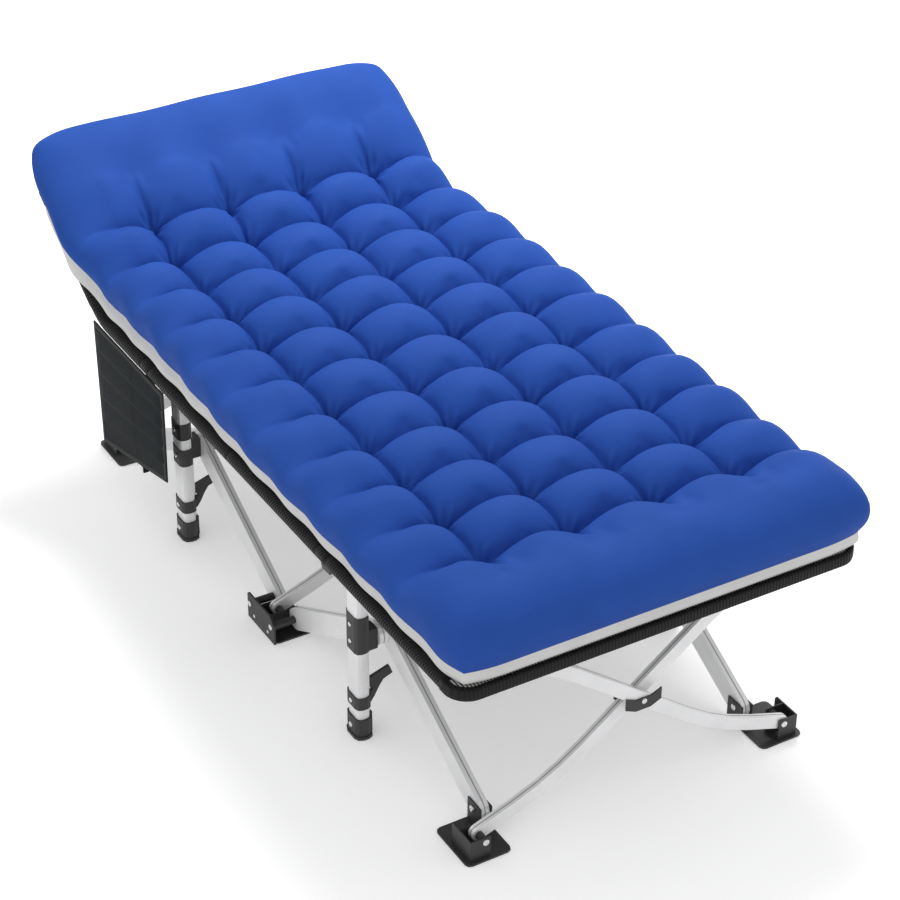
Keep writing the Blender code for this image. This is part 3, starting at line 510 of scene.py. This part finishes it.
def arch(turns):
    """Arch between whole numbers: one less the square of the way from its middle, to a power of 0.6.

    It is close to half of an ellipse, so neighbours meet steeply at each whole number.
    """
    off = 1 - 2 * np.abs(turns - np.round(turns))
    return np.clip(1.002 - off ** 2, 0, 1) ** 0.60


def counted(at, tufts, past):
    """Count of tufts up to a place, as a whole number at each tuft and half a turn past the outer ones."""
    turns = np.interp(at, tufts, np.arange(len(tufts)))
    turns = turns - 0.5 * np.clip((tufts[0] - at) / past[0], 0, 1)
    return turns + 0.5 * np.clip((at - tufts[-1]) / past[1], 0, 1)


def crease(turns, fade):
    """Depth of the creases at whole numbers: sharp at first, then soft waves as they fade out."""
    sharp = 1 - arch(turns)
    soft = 0.5 + 0.5 * np.cos(2 * math.pi * turns)
    return (sharp + (0.7 * soft - sharp) * smooth(fade * 1.6)) * (1 - smooth(fade))


def puff_height(x, y):
    """Share of the crown at a point: rounded puffs between the tufts, with a crease from tuft to tuft.

    A puff is the mean of an arch across and an arch along, to a power. Past the outer tufts the creases
    fade out. No two puffs are quite alike: slow waves over the pad make some a little fuller.
    """
    past_x = np.where(x > 0, (x - TUFTS_X[-1]) / FADE_X[1], (TUFTS_X[0] - x) / FADE_X[0])
    past_y = np.where(y > 0, (y - TUFTS_Y[-1]) / FADE_Y[1], (TUFTS_Y[0] - y) / FADE_Y[0])
    across = 1 - crease(counted(x, TUFTS_X, PAST_X), past_y)
    along = 1 - crease(counted(y, TUFTS_Y, PAST_Y), past_x)
    puff = TUFT_LEFT + (1 - TUFT_LEFT) * ((across + along) / 2) ** PUFF_STEEP
    fuller = 1 + 0.035 * np.sin(17 * x + 5 * y) * np.sin(11 * y - 9 * x)
    ends = FOOT_FULLER * smooth((TUFTS_Y[0] - y) / 0.05) - HEAD_FLATTER * smooth((y - 0.62) / 0.16)
    return puff * fuller * (1 + ends)


def places(lines, cells):
    """Grid places from line to line, closer together beside each line."""
    runs = []
    for first, last, count in zip(lines[:-1], lines[1:], cells):
        share = np.arange(count) / count
        runs.append(first + (last - first) * (0.6 * share + 0.2 * (1 - np.cos(math.pi * share))))
    return np.concatenate(runs + [lines[-1:]])


def drawn_in(x, y):
    """How far the left seam sits in from the pad's side, between the middle and the raised head."""
    return DRAWN_IN * smooth((-x - 0.28) / 0.10) * smooth((y + 0.15) / 0.55) * (1 - smooth((y - 0.60) / 0.12))


def plan(x, y):
    """Plan of the pad and the way out: a corner's square patch is drawn towards a quarter disc.

    The head's corners are drawn in fully and the foot's by about half.
    """
    end = np.where(y > 0, PAD_HEAD, PAD_FOOT)
    drawn = np.where(y > 0, 1.0, 0.45) / (2 * PLAN_ROUND ** 2)
    dx = np.clip(np.abs(x) - (PAD_W - PLAN_ROUND), 0, None)
    dy = np.clip(np.abs(y) - (end - PLAN_ROUND), 0, None)
    drawn_x, drawn_y = dx * np.sqrt(1 - drawn * dy ** 2), dy * np.sqrt(1 - drawn * dx ** 2)
    reach = np.maximum(np.hypot(drawn_x, drawn_y), 1e-9)
    out = np.stack([np.sign(x) * drawn_x / reach, np.sign(y) * drawn_y / reach], axis=-1)
    spot = np.stack([x + np.sign(x) * (drawn_x - dx), y + np.sign(y) * (drawn_y - dy)], axis=-1)
    spot[..., 0] += SIDE_WIDER * smooth((x - 0.28) / 0.12) * (1 - smooth((y - 0.40) / 0.25))
    spot[..., 0] += drawn_in(x, y)
    return spot, out


def hang(x, y):
    """Share by which the pad hangs over the left rail, along its raised head."""
    return smooth((-x - 0.27) / 0.13) * smooth((y - 0.60) / 0.13)


# Pale edge, from the seam down, a row for each ring: how far inwards and upwards it lies on the deck, then
# inwards and upwards where it hangs over, then what is added inwards where the left seam is drawn in
RIM = [(-0.003, 0.0190, -0.0035, 0.0100, -0.006), (-0.004, 0.0105, -0.0045, -0.0040, -0.011),
       (-0.002, 0.0038, -0.0025, -0.0165, -0.013), (0.003, 0.0010, 0.0010, -0.0145, -0.010),
       (0.012, 0.0004, 0.0016, 0.0010, 0.0), (0.030, 0.0004, 0.030, 0.0006, 0.0)]


def pad_mesh():
    """Closed pad: top grid, pale edge and flat underside; and the number of points in the top.

    From the seam inwards the edge is an arc of an ellipse that first swells out, then turns over to the
    crown.
    """
    xs = places(np.concatenate([[-PAD_W], TUFTS_X, [PAD_W]]), CELLS_X)
    ys = places(np.concatenate([[-PAD_FOOT], TUFTS_Y, [PAD_HEAD]]), CELLS_Y)
    x, y = np.meshgrid(xs, ys)
    inset = np.minimum(PAD_W - np.abs(x), np.minimum(PAD_HEAD - y, y + PAD_FOOT))
    share = np.clip(inset / EDGE_WIDE, 0, 1)
    angle = EDGE_START + (math.pi / 2 - EDGE_START) * share
    rise = (np.sin(angle) - math.sin(EDGE_START)) / (1 - math.sin(EDGE_START))
    swell = EDGE_WIDE * share - EDGE_DEEP * (math.cos(EDGE_START) - np.cos(angle))
    spot, out = plan(x, y)
    wave = RIPPLE * np.cos(2 * math.pi * (y - TUFTS_Y[0]) / RIPPLE_PITCH) * (1 - share)
    spot = spot + out * (swell + wave)[..., None]
    high = puff_height(spot[..., 0], spot[..., 1])
    hanging = hang(x, y)
    level = underside(spot[..., 1]) + SEAM_UP + rise * CROWN * high
    top = np.concatenate([spot, level[..., None]], axis=-1)
    top[..., 0] -= HANG_OUT * hanging
    rows, columns = x.shape
    number = np.arange(rows * columns).reshape(rows, columns)
    loop = np.concatenate([number[0, :-1], number[:-1, -1], number[-1, :0:-1], number[:0:-1, 0]])
    rim, way, share = top.reshape(-1, 3)[loop], out.reshape(-1, 2)[loop], hanging.reshape(-1)[loop]
    lump = LUMP * np.sin(rim[:, 1] * 61) * share
    rings = []
    flare = drawn_in(rim[:, 0], rim[:, 1]) / DRAWN_IN
    for inward, height, inward_hung, height_hung, flared in RIM:
        ring = rim.copy()
        ring[:, :2] -= way * (inward + (inward_hung - inward) * share + flared * flare + lump)[:, None]
        ring[:, 2] = underside(ring[:, 1]) + height + (height_hung - height) * share
        rings.append(ring)
    count, base = len(loop), rows * columns
    faces = [tuple(f) for f in grid_faces(rows, columns)]
    order = [loop] + [base + k * count + np.arange(count) for k in range(len(rings))]
    for upper, lower in zip(order[:-1], order[1:]):
        faces += list(zip(np.roll(upper, -1), upper, lower, np.roll(lower, -1)))
    extra, below = close_below(order[-1], rings[-1], base + len(rings) * count, columns - 1, rows - 1)
    return np.concatenate([top.reshape(-1, 3), *rings, extra]), faces + below, base


def close_below(last, low, at, cells_x, cells_y):
    """Flat underside inside the last ring: strips across with three points each, and one face at each end."""
    right = last[cells_x:cells_x + cells_y + 1]
    left = np.concatenate([last[:1], last[:cells_x + cells_y + cells_x - 1:-1]])
    extra, middle = [], []
    for step in range(2, cells_y - 1):
        a, b = low[left[step] - last[0]], low[right[step] - last[0]]
        middle.append([at + len(extra) + k for k in range(3)])
        extra += [a + (b - a) * k / 4 for k in (1, 2, 3)]
    strips = [[left[s + 2], *middle[s], right[s + 2]] for s in range(len(middle))]
    faces = []
    for one, two in zip(strips[:-1], strips[1:]):
        faces += [(one[k + 1], one[k], two[k], two[k + 1]) for k in range(4)]
    foot_side = list(last[:cells_x + 1])
    faces.append(tuple(list(right[1:3]) + strips[0][-2:0:-1] + [left[2], left[1]] + foot_side))
    head_side = list(last[cells_x + cells_y:2 * cells_x + cells_y + 1])
    faces.append(tuple([left[-2], left[-3]] + strips[-1][1:-1] + [right[-3], right[-2]] + head_side))
    return np.array(extra), faces


def mark_seam(mesh, top_count):
    """Keeps the seam between the blue cloth and the pale edge crisp: its edges are marked sharp."""
    pairs = np.zeros(len(mesh.edges) * 2, int)
    mesh.edges.foreach_get("vertices", pairs)
    pairs = pairs.reshape(-1, 2)
    users = np.zeros(len(mesh.vertices), int)
    for polygon in mesh.polygons:
        users[list(polygon.vertices)] |= 2 if polygon.material_index else 1
    on_seam = (users[pairs] == 3).all(axis=1) & (pairs < top_count).all(axis=1)
    mesh.edges.foreach_set("use_edge_sharp", on_seam)


def make_pad():
    """The loose pad: blue above the seam, pale below it."""
    points, faces, top_count = pad_mesh()
    mesh = mesh_from("pad", points, faces)
    pad = shown("tufted_pad", mesh, "pad", [blue, pale])
    below = np.zeros(len(mesh.polygons), int)
    below[sum(CELLS_X) * sum(CELLS_Y):] = 1
    mesh.polygons.foreach_set("material_index", below)
    mark_seam(mesh, top_count)
    blow_up(pad, points, top_count)
    draw_pleats(pad)
    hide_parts("pad")


def blow_up(pad, points, top_count):
    """Cloth pass: slack fabric, held at the creases and the edge, swells under pressure; moves are capped."""
    x, y = points[:top_count, 0], points[:top_count, 1]
    near_x = np.abs(x[:, None] - TUFTS_X).min(axis=1)
    near_y = np.abs(y[:, None] - TUFTS_Y).min(axis=1)
    inside = (x > TUFTS_X[0] - 0.05) & (x < TUFTS_X[-1] + 0.05)
    inside = inside & (y > TUFTS_Y[0] - 0.02) & (y < TUFTS_Y[-1] + 0.02)
    sewn = np.hypot(near_x, near_y) < 0.012
    creased = inside & (np.minimum(near_x, near_y) < 0.003)
    border = (x < -0.33) | (x > 0.36) | (y > 0.78) | (y < -0.77)
    held = np.ones(len(points), bool)
    held[:top_count] = sewn | creased | border
    group = pad.vertex_groups.new(name="held")
    group.add(np.nonzero(held)[0].tolist(), 1.0, "REPLACE")
    cloth = pad.modifiers.new("cloth", "CLOTH")
    settings = cloth.settings
    settings.quality = 5
    settings.mass = 0.15
    settings.tension_stiffness = 12
    settings.compression_stiffness = 12
    settings.shear_stiffness = 4
    settings.bending_stiffness = 1.5
    settings.vertex_group_mass = "held"
    settings.shrink_min = -0.02
    settings.use_pressure = True
    settings.uniform_pressure_force = 3.0
    settings.effector_weights.gravity = 0.0
    cloth.collision_settings.use_collision = False
    cloth.point_cache.frame_start, cloth.point_cache.frame_end = 1, CLOTH_FRAMES
    for number in range(1, CLOTH_FRAMES + 1):
        bpy.context.scene.frame_set(number)
    graph = bpy.context.evaluated_depsgraph_get()
    swollen = pad.evaluated_get(graph).to_mesh()
    moved = np.zeros(len(points) * 3)
    swollen.vertices.foreach_get("co", moved)
    pad.evaluated_get(graph).to_mesh_clear()
    pad.modifiers.remove(cloth)
    pad.vertex_groups.clear()
    bpy.context.scene.frame_set(1)
    move = moved.reshape(-1, 3) - points
    length = np.linalg.norm(move, axis=1, keepdims=True)
    points = points + move * np.minimum(1, SWELL_CAP / np.maximum(length, 1e-9))
    pad.data.vertices.foreach_set("co", points.ravel())
    pad.data.update()


def draw_pleats(pad):
    """One subdivision, then short pleats that run in to each tuft, and a small pit at the tuft itself.

    A pleat's height is a cosine of the angle round the tuft, times a bell curve of the distance from it.
    """
    finer = pad.modifiers.new("finer", "SUBSURF")
    finer.levels = finer.render_levels = 1
    graph = bpy.context.evaluated_depsgraph_get()
    mesh = bpy.data.meshes.new_from_object(pad.evaluated_get(graph))
    pad.modifiers.remove(finer)
    rough, pad.data = pad.data, mesh
    bpy.data.meshes.remove(rough)
    mesh.name = "pad"
    spots, normals = np.zeros(len(mesh.vertices) * 3), np.zeros(len(mesh.vertices) * 3)
    mesh.vertices.foreach_get("co", spots)
    mesh.vertices.foreach_get("normal", normals)
    spots, normals = spots.reshape(-1, 3), normals.reshape(-1, 3)
    column = np.abs(spots[:, :1] - TUFTS_X).argmin(axis=1)
    row = np.abs(spots[:, 1:2] - TUFTS_Y).argmin(axis=1)
    dx, dy = spots[:, 0] - TUFTS_X[column], spots[:, 1] - TUFTS_Y[row]
    reach = np.hypot(dx, dy)
    turn = np.arctan2(dy, dx)
    folds = np.cos(8 * turn + 1.7 * column + 2.3 * row + 0.8 * np.sin(2 * turn + row))
    strength = np.exp(-((reach - PLEAT_OFF) / PLEAT_WIDE) ** 2) * smooth(reach / 0.012)
    above = spots[:, 2] > underside(spots[:, 1]) + SEAM_UP + 0.002
    lift = (PLEAT_HIGH * folds * strength - PIT_DEEP * np.exp(-(reach / PIT_WIDE) ** 2)) * above
    spots = spots + normals * lift[:, None]
    mesh.vertices.foreach_set("co", spots.ravel())
    mesh.update()


make_pad()


# Deck: cloth panels, the ribbed binding round the rails, and the hems

# The cloth's top over the rails, half the deck's width and its sag, the hinge lines and the head stretch's
# tip
CLOTH_TOP = RAIL_Z + RAIL_R + 0.0028
DECK_HALF, SAG = 0.400, 0.0012
HINGE_LINE = {"outer": POST_Y + HINGE_OFF, "inner": POST_Y - HINGE_OFF}
HEAD_TIP = BEND_Y + HEAD_RUN + 0.004


def rail_path(ys):
    """Height and slope of the rails' line at places along the cot: flat, then a turn up to the head's line.

    The turn is a parabola. It ends about 4 mm above the head's line.
    """
    turn = 0.040
    past = ys - (BEND_Y - turn)
    full = turn * (1 + math.cos(HEAD_SLOPE))
    share = np.clip(past / full, 0, 1)
    slope = HEAD_SLOPE * share
    rise = np.where(past <= 0, 0.0, np.where(past >= full, (ys - BEND_Y) * math.tan(HEAD_SLOPE),
                                             past ** 2 / (2 * full) * math.tan(HEAD_SLOPE) * 1.09))
    return RAIL_Z + rise, slope


def along_rail(ys, xs, heights):
    """Grid of points: each section point stands at its height square to the rail's line."""
    z, slope = rail_path(ys)
    points = np.empty((len(ys), len(xs), 3))
    points[..., 0] = xs
    points[..., 1] = ys[:, None] - np.asarray(heights) * np.sin(slope)[:, None]
    points[..., 2] = z[:, None] + np.asarray(heights) * np.cos(slope)[:, None]
    return points


def spans():
    """The cot's stretches along Y: name, start, end and the bodies that carry them on each side."""
    rows = []
    for end, tip in ((FOOT, FOOT_Y - 0.003), (HEAD, HEAD_TIP)):
        place = END[end]
        inner, outer = end * HINGE_LINE["inner"], end * HINGE_LINE["outer"]
        rows.append(("%s_outer" % place, *sorted((outer, tip)), "rail_%s_outer_%%s" % place))
        rows.append(("%s_inner" % place, *sorted((inner, 0.0)), "rail_%s_inner_%%s" % place))
        rows.append(("%s_post" % place, *sorted((inner, outer)), "post_%s_%%s" % place))
    return rows


def corner_inset(ys):
    """How far the edge is drawn in along the deck's rounded foot corners."""
    past = np.clip(-ys - FOOT_TURN, 0, FOOT_ROUND * 0.999)
    return FOOT_ROUND - np.sqrt(FOOT_ROUND ** 2 - past ** 2)


def make_deck():
    """Panels of striped cloth, each carried by the left rail of its stretch and drawn in at the foot's
    rounded corners.

    Between the foot's corners, where the binding has ended, the cloth reaches further out to the hem.
    """
    xs = np.linspace(-DECK_HALF, DECK_HALF, 41)
    sag = SAG * (1 - (xs / DECK_HALF) ** 2)
    for name, start, stop, body in spans():
        ys = np.linspace(start, stop, max(3, int((stop - start) / 0.02)))
        points = along_rail(ys, xs, CLOTH_TOP - RAIL_Z - 0.0004 - sag)
        wider = np.where(ys < -FOOT_TURN, 0.016, 0.0)
        points[..., 0] *= 1 + (wider - corner_inset(ys))[:, None] / DECK_HALF
        panel = shown("deck_%s" % name, mesh_from("deck_" + name, points, grid_faces(len(ys), len(xs))),
                      body % "left", [stripes])
        thicken(panel, 0.0014)
        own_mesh(panel)
        if name == "foot_outer":
            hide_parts("deck")


def binding_section(side):
    """Binding's section: flat from the deck's edge, then round the outside of the rail and back under it."""
    radius = RAIL_R + 0.0027
    angles = np.radians(np.linspace(90, 262, 15))
    xs = np.concatenate([[-0.386, -0.392, -0.400], -RAIL_X + radius * np.cos(angles)])
    heights = np.concatenate([[radius + 0.0002] * 3, radius * np.sin(angles)])
    return -side * xs, heights


def make_binding():
    """Ribbed strips round both rails, one for each stretch; at the foot they end where the corners turn."""
    for name, start, stop, body in spans():
        for side in (LEFT, RIGHT):
            xs, heights = binding_section(side)
            ys = np.linspace(max(start, -FOOT_TURN), stop, max(3, int((stop - start) / 0.012)))
            points = along_rail(ys, xs, heights)
            if side == LEFT:
                points = points[:, ::-1]
            label = "binding_%s_%s" % (name, SIDE[side])
            strip = shown(label, mesh_from(label, points, grid_faces(len(ys), len(xs))), body % SIDE[side],
                          [binding])
            thicken(strip, 0.0016)


def make_hem(end, y_end, tall, corner):
    """Folded hem across an end: a flat strip on edge with a rounded top, turned back at both corners."""
    reach = RAIL_X + RAIL_R + 0.0012
    turn = np.linspace(0, math.pi / 2, 13)
    left = np.stack([-reach + corner * (1 - np.cos(turn)), -corner * (1 - np.sin(turn))], axis=1)
    across = np.linspace(-reach + corner + 0.01, reach - corner - 0.01, 60)
    path = np.concatenate([[[-reach, -corner - 0.012]], left,
                           np.stack([across, np.zeros_like(across)], axis=1),
                           (left * [-1, 1])[::-1], [[reach, -corner - 0.012]]])
    way = np.gradient(path, axis=0)
    way /= np.linalg.norm(way, axis=1)[:, None]
    out = np.stack([-way[:, 1], way[:, 0]], axis=1)
    heights = np.array([0.0, 0.0, -0.0008, -0.003, -tall * 0.5, -tall + 0.003, -tall, -tall, -tall + 0.002])
    outward = np.array([-0.010, -0.002, 0.0, 0.0008, 0.0012, 0.0008, 0.0, -0.0016, -0.0022])
    outward, heights = outward[:, None], heights[:, None]
    x = path[:, 0] + outward * out[:, 0]
    back = path[:, 1] + outward * out[:, 1]
    slope = HEAD_SLOPE if end == HEAD else 0.0
    base_z = rail_path(np.array([y_end]))[0][0] + (CLOTH_TOP - RAIL_Z + 0.0003) * math.cos(slope)
    base_y = y_end - (CLOTH_TOP - RAIL_Z) * math.sin(slope)
    run = end * back
    y = base_y + run * math.cos(slope) - heights * math.sin(slope)
    z = base_z + run * math.sin(slope) + heights * math.cos(slope)
    points = np.stack([x, y, z], axis=-1)
    if end == FOOT:
        points = points[::-1]
    name = "hem_" + END[end]
    hem = shown(name, mesh_from(name, points, grid_faces(*points.shape[:2])), "rail_%s_outer_left" % END[end],
                [hem_black])
    thicken(hem, 0.0018)
    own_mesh(hem)


make_deck()
make_binding()
make_hem(FOOT, FOOT_Y - 0.0035, tall=0.023, corner=FOOT_ROUND)
make_hem(HEAD, HEAD_TIP - 0.001, tall=0.018, corner=0.016)


# Pocket: front panel with sewn pleats, tape round its edge, and the pouch behind it

POCKET_FACE = -(RAIL_X + RAIL_R + 0.0028)
# The panel's start and width along the cot, its top, and its foot at both ends
POCKET_Y, POCKET_WIDE, POCKET_TOP, POCKET_LOW = 0.290, 0.338, 0.419, (0.205, 0.125)
# Pleats as shares of the panel's height, and the upright seam as a share of its width
PLEATS, SEAM_AT = (0.20, 0.40, 0.60, 0.80), 0.42


def panel_bulge(s, t):
    """How far the panel stands out: a low belly, and a soft ledge that steps in at each pleat."""
    belly = 0.0045 * np.sin(math.pi * s) * np.sin(math.pi * np.clip(t * 1.05, 0, 1))
    ledge = sum(0.0042 * (1 / (1 + np.exp((t - at) / 0.006)) - 1 / (1 + np.exp((t - at + 0.13) / 0.045)))
                for at in PLEATS)
    return belly + ledge * np.clip(np.sin(math.pi * s) * 4, 0, 1)


def make_pocket():
    """The side pocket: its front panel, lower towards the head, with the tape and the pouch.

    The attribute pleat is 1 on a pleat, a little less on the upright seam, and 0 between them; it darkens the
    slate as painted shade in the pleats' folds.
    """
    rows, columns = 90, 60
    t, s = np.meshgrid(np.linspace(0, 1, rows), np.linspace(0, 1, columns), indexing="ij")
    y = POCKET_Y + POCKET_WIDE * s + 0.008 * t * (1 - s) * 0.9 - 0.004 * t * s
    low_z = POCKET_LOW[0] + (POCKET_LOW[1] - POCKET_LOW[0]) * s
    z = POCKET_TOP + (low_z - POCKET_TOP) * t
    x = POCKET_FACE - panel_bulge(s, t)
    points = np.stack([x, y, z], axis=-1)
    mesh = mesh_from("pocket_panel", points[:, ::-1], grid_faces(rows, columns))
    # Painted shade for the slate: strongest on the pleats, a little less on the upright seam.
    pleat = sum(np.exp(-((t - at) / 0.020) ** 2) for at in PLEATS)
    pleat = np.clip(pleat + 0.7 * np.exp(-((s - SEAM_AT) / 0.014) ** 2), 0, 1)
    mesh.attributes.new("pleat", "FLOAT", "POINT").data.foreach_set("value", pleat[:, ::-1].ravel())
    panel = shown("pocket_panel", mesh, "rail_head_outer_left", [slate])
    thicken(panel, 0.0012)
    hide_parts("pocket")
    make_tape(points)
    make_pouch()


def make_tape(points):
    """Binding tape folded over the panel's edge: a small U carried along the edge."""
    rows, columns = points.shape[:2]
    edge = np.concatenate([points[:, 0], points[-1, 1:], points[-2::-1, -1], points[0, -2:0:-1]])
    inward = points[rows // 2, columns // 2] - edge
    inward[:, 0] = 0
    before, after = np.roll(edge, 1, axis=0), np.roll(edge, -1, axis=0)
    way = after - before
    way /= np.linalg.norm(way, axis=1)[:, None]
    inner = np.cross(way, [1.0, 0, 0])
    inner /= np.linalg.norm(inner, axis=1)[:, None]
    inner *= np.sign((inner * inward).sum(axis=1))[:, None]
    section = [(0.010, -0.0012), (0.009, -0.0020), (0.0, -0.0022), (-0.0016, -0.0008), (-0.0016, 0.0012),
               (0.0, 0.0026), (0.009, 0.0022), (0.010, 0.0014)]
    rings = np.stack([edge + a * inner + b * np.array([1.0, 0, 0]) for a, b in section], axis=1)
    mesh = mesh_from("pocket_tape", rings, grid_faces(len(edge), len(section), True, True))
    fix_normals(mesh)
    shown("pocket_tape", mesh, "rail_head_outer_left", [tape])


def make_pouch():
    """Open pouch behind the panel: its wall is a U in plan carried up, with a rounded closed foot."""
    y0, y1, z0, z1, deep, corner = 0.424, 0.616, 0.150, 0.370, 0.0225, 0.008
    arc = np.linspace(0, math.pi / 2, 6)
    along, across = corner * (1 - np.cos(arc)), corner * np.sin(arc)
    outline = np.concatenate([
        [[0.0008, y0]], np.stack([deep - corner + across, y0 + along], axis=1),
        np.stack([deep - along, y1 - corner + across], axis=1), [[0.0008, y1]]])
    levels = np.concatenate([z0 + 0.010 * (1 - np.cos(arc)), np.linspace(z0 + 0.03, z1, 20)])
    inset = np.concatenate([0.010 * (1 - np.sin(arc)), np.zeros(20)])
    middle = np.array([0.012, (y0 + y1) / 2])
    grid = []
    for level, draw in zip(levels, inset):
        ring = middle + (outline - middle) * (1 - draw / np.array([0.014, 0.096]))
        slack = 0.0015 * math.sin(math.pi * (level - z0) / (z1 - z0))
        x = POCKET_FACE + ring[:, 0] + slack * (ring[:, 0] > 0.01)
        grid.append(np.stack([x, ring[:, 1], np.full(len(ring), level)], axis=1))
    closed = grid[0].copy()
    closed[:, 0] = POCKET_FACE + middle[0] + (closed[:, 0] - POCKET_FACE - middle[0]) * 0.02
    grid = np.array([closed, *grid])
    pouch = shown("pocket_pouch", mesh_from("pocket_pouch", grid, grid_faces(*grid.shape[:2])),
                  "rail_head_outer_left", [slate])
    thicken(pouch, 0.0012, 1.0)


make_pocket()


# Screws and rivets: one mesh for each body

# A head's outline, out from its axis and up from its seat, as shares of its radius
HEAD_PROFILE = [(1.0, -0.3), (1.0, 0.10), (0.94, 0.20), (0.72, 0.30), (0.50, 0.34), (0.42, 0.33),
                (0.38, 0.20), (0.30, 0.16), (0.0, 0.16)]
HEAD_SIDES = 16
# Heads of the right-hand head corner: place, the way it faces and radius. The other corners mirror it.
BRACKET_HEADS = [((0.3276, 0.801, PIN_Z), (0, 1, 0), 0.0068), ((0.3035, 0.711, PIN_Z), (1, 0, 0), 0.0068),
                 ((0.2755, 0.711, PIN_Z), (-1, 0, 0), 0.0068)]
BAND_HEADS_Z = {FOOT: (0.222, 0.260), HEAD: (0.269, 0.206)}


def head_mesh(centre, normal, radius):
    """Turned head of a screw or rivet, with a socket: its outline carried round the axis."""
    profile = np.array(HEAD_PROFILE) * radius
    normal = np.asarray(normal, float)
    one = np.cross(normal, [0, 0, 1.0])
    two = np.cross(normal, one)
    turn = np.linspace(0, 2 * math.pi, HEAD_SIDES + 1)[:-1]
    ring = np.cos(turn)[:, None] * one + np.sin(turn)[:, None] * two
    return np.asarray(centre) + profile[:, 0, None, None] * ring + profile[:, 1, None, None] * normal


def make_heads():
    """Screw and rivet heads, one mesh for each body that carries some."""
    heads = {}

    def put(body, centre, normal, radius):
        heads.setdefault(body, []).append(head_mesh(centre, normal, radius))

    for side in (LEFT, RIGHT):
        outward = (side, 0, 0)
        middle = "bracket_middle_" + SIDE[side]
        for way in (-1, 1):
            put(middle, (side * 0.3705, way * 0.046, PIN_Z), outward, 0.0064)
            put(middle, (side * 0.3690, way * 0.030, 0.016), outward, 0.0038)
        for end in (FOOT, HEAD):
            here = "%s_%s" % (END[end], SIDE[side])
            y = end * POST_Y
            mirror = (side, end, 1)
            for place, normal, radius in BRACKET_HEADS:
                put("bracket_" + here, np.multiply(place, mirror), np.multiply(normal, mirror), radius)
            for z in BAND_HEADS_Z[end]:
                put("post_" + here, (side * 0.3683, y, z), outward, 0.0046)
            put("post_" + here, (side * 0.3705, y, 0.026), outward, 0.0056)
            put("post_" + here, (side * 0.3695, y, 0.0835), outward, 0.0050)
            put("slider_" + here, (side * 0.2765, y, APEX_Z), (-side, 0, 0), 0.0070)
    for place, station in (("foot", -STATION_Y), ("middle", 0.0), ("head", STATION_Y)):
        for way in (-1, 1):
            put("x_bar_%s_a" % place, (0, station + way * 0.0219, 0.2236), (0, way, 0), 0.0056)
    rows = len(HEAD_PROFILE)
    for body, group in heads.items():
        points = np.concatenate([head.reshape(-1, 3) for head in group])
        faces = np.concatenate([grid_faces(rows, HEAD_SIDES, wrap_columns=True, start=k * rows * HEAD_SIDES)
                                for k in range(len(group))])
        mesh = mesh_from("screws_" + body, points, faces)
        fix_normals(mesh, weld=1e-6)
        shown("screws_" + body, mesh, body, [steel])


make_heads()


# Floor, light and camera

# Light of the floor's own that the camera sees
FLOOR_GLOW = 0.30
# Lamps: place, size and power
LAMPS = {"key": ((1.3, 1.5, 3.9), 1.8, 178), "fill": ((-2.6, -1.8, 2.8), 2.6, 26)}


def floor_finish():
    """Matt white floor that shows the camera a little light of its own, so that it reads as white paper."""
    material = make_material("floor", (0.90, 0.90, 0.90), 0.9)
    tree = material.node_tree
    path = add(tree, "ShaderNodeLightPath").outputs
    seen = math_node(tree, "MAXIMUM", path["Is Camera Ray"], path["Is Glossy Ray"])
    seen = math_node(tree, "MAXIMUM", seen, path["Is Transmission Ray"])
    shader = tree.nodes["Principled BSDF"]
    shader.inputs["Emission Color"].default_value = (1, 1, 1, 1)
    shader.inputs["Specular IOR Level"].default_value = 0.0
    tree.links.new(math_node(tree, "MULTIPLY", seen, FLOOR_GLOW), shader.inputs["Emission Strength"])
    return material


def make_stage():
    """The floor, an even white world and two soft lamps aimed at the cot."""
    corners = [(-9, -7, 0), (9, -7, 0), (9, 11, 0), (-9, 11, 0)]
    floor = bpy.data.objects.new("floor", mesh_from("floor", corners, [(0, 1, 2, 3)]))
    bpy.context.scene.collection.objects.link(floor)
    floor.data.materials.append(floor_finish())
    floor.location.z = -0.0006
    world = bpy.data.worlds.new("studio")
    world.use_nodes = True
    world.node_tree.nodes["Background"].inputs["Color"].default_value = (1, 1, 1, 1)
    world.node_tree.nodes["Background"].inputs["Strength"].default_value = 0.80
    bpy.context.scene.world = world
    for name, (place, size, power) in LAMPS.items():
        lamp = bpy.data.lights.new(name, "AREA")
        lamp.shape = "DISK"
        lamp.size = size
        lamp.energy = power
        holder = bpy.data.objects.new(name, lamp)
        holder.location = place
        way = -np.array(place) + np.array([0, 0, 0.3])
        holder.rotation_euler = (math.acos(way[2] / np.linalg.norm(way)) + math.pi,
                                 0, math.atan2(way[1], way[0]) - math.pi / 2)
        bpy.context.scene.collection.objects.link(holder)


def make_camera():
    """The fitted camera: its sideways, upward and backward directions, and its place."""
    camera = bpy.data.cameras.new("camera")
    camera.lens = 96.97
    camera.sensor_width = 36.0
    holder = bpy.data.objects.new("camera", camera)
    bpy.context.scene.collection.objects.link(holder)
    columns = [(0.8618, -0.50723, 0.00487, 0), (0.27045, 0.46758, 0.84156, 0),
               (-0.42914, -0.72394, 0.54014, 0), (-2.0312, -3.5418, 2.9314, 1)]
    holder.matrix_world = Matrix(columns).transposed()
    bpy.context.scene.camera = holder


make_stage()
make_camera()
bpy.context.scene.view_settings.view_transform = "Standard"
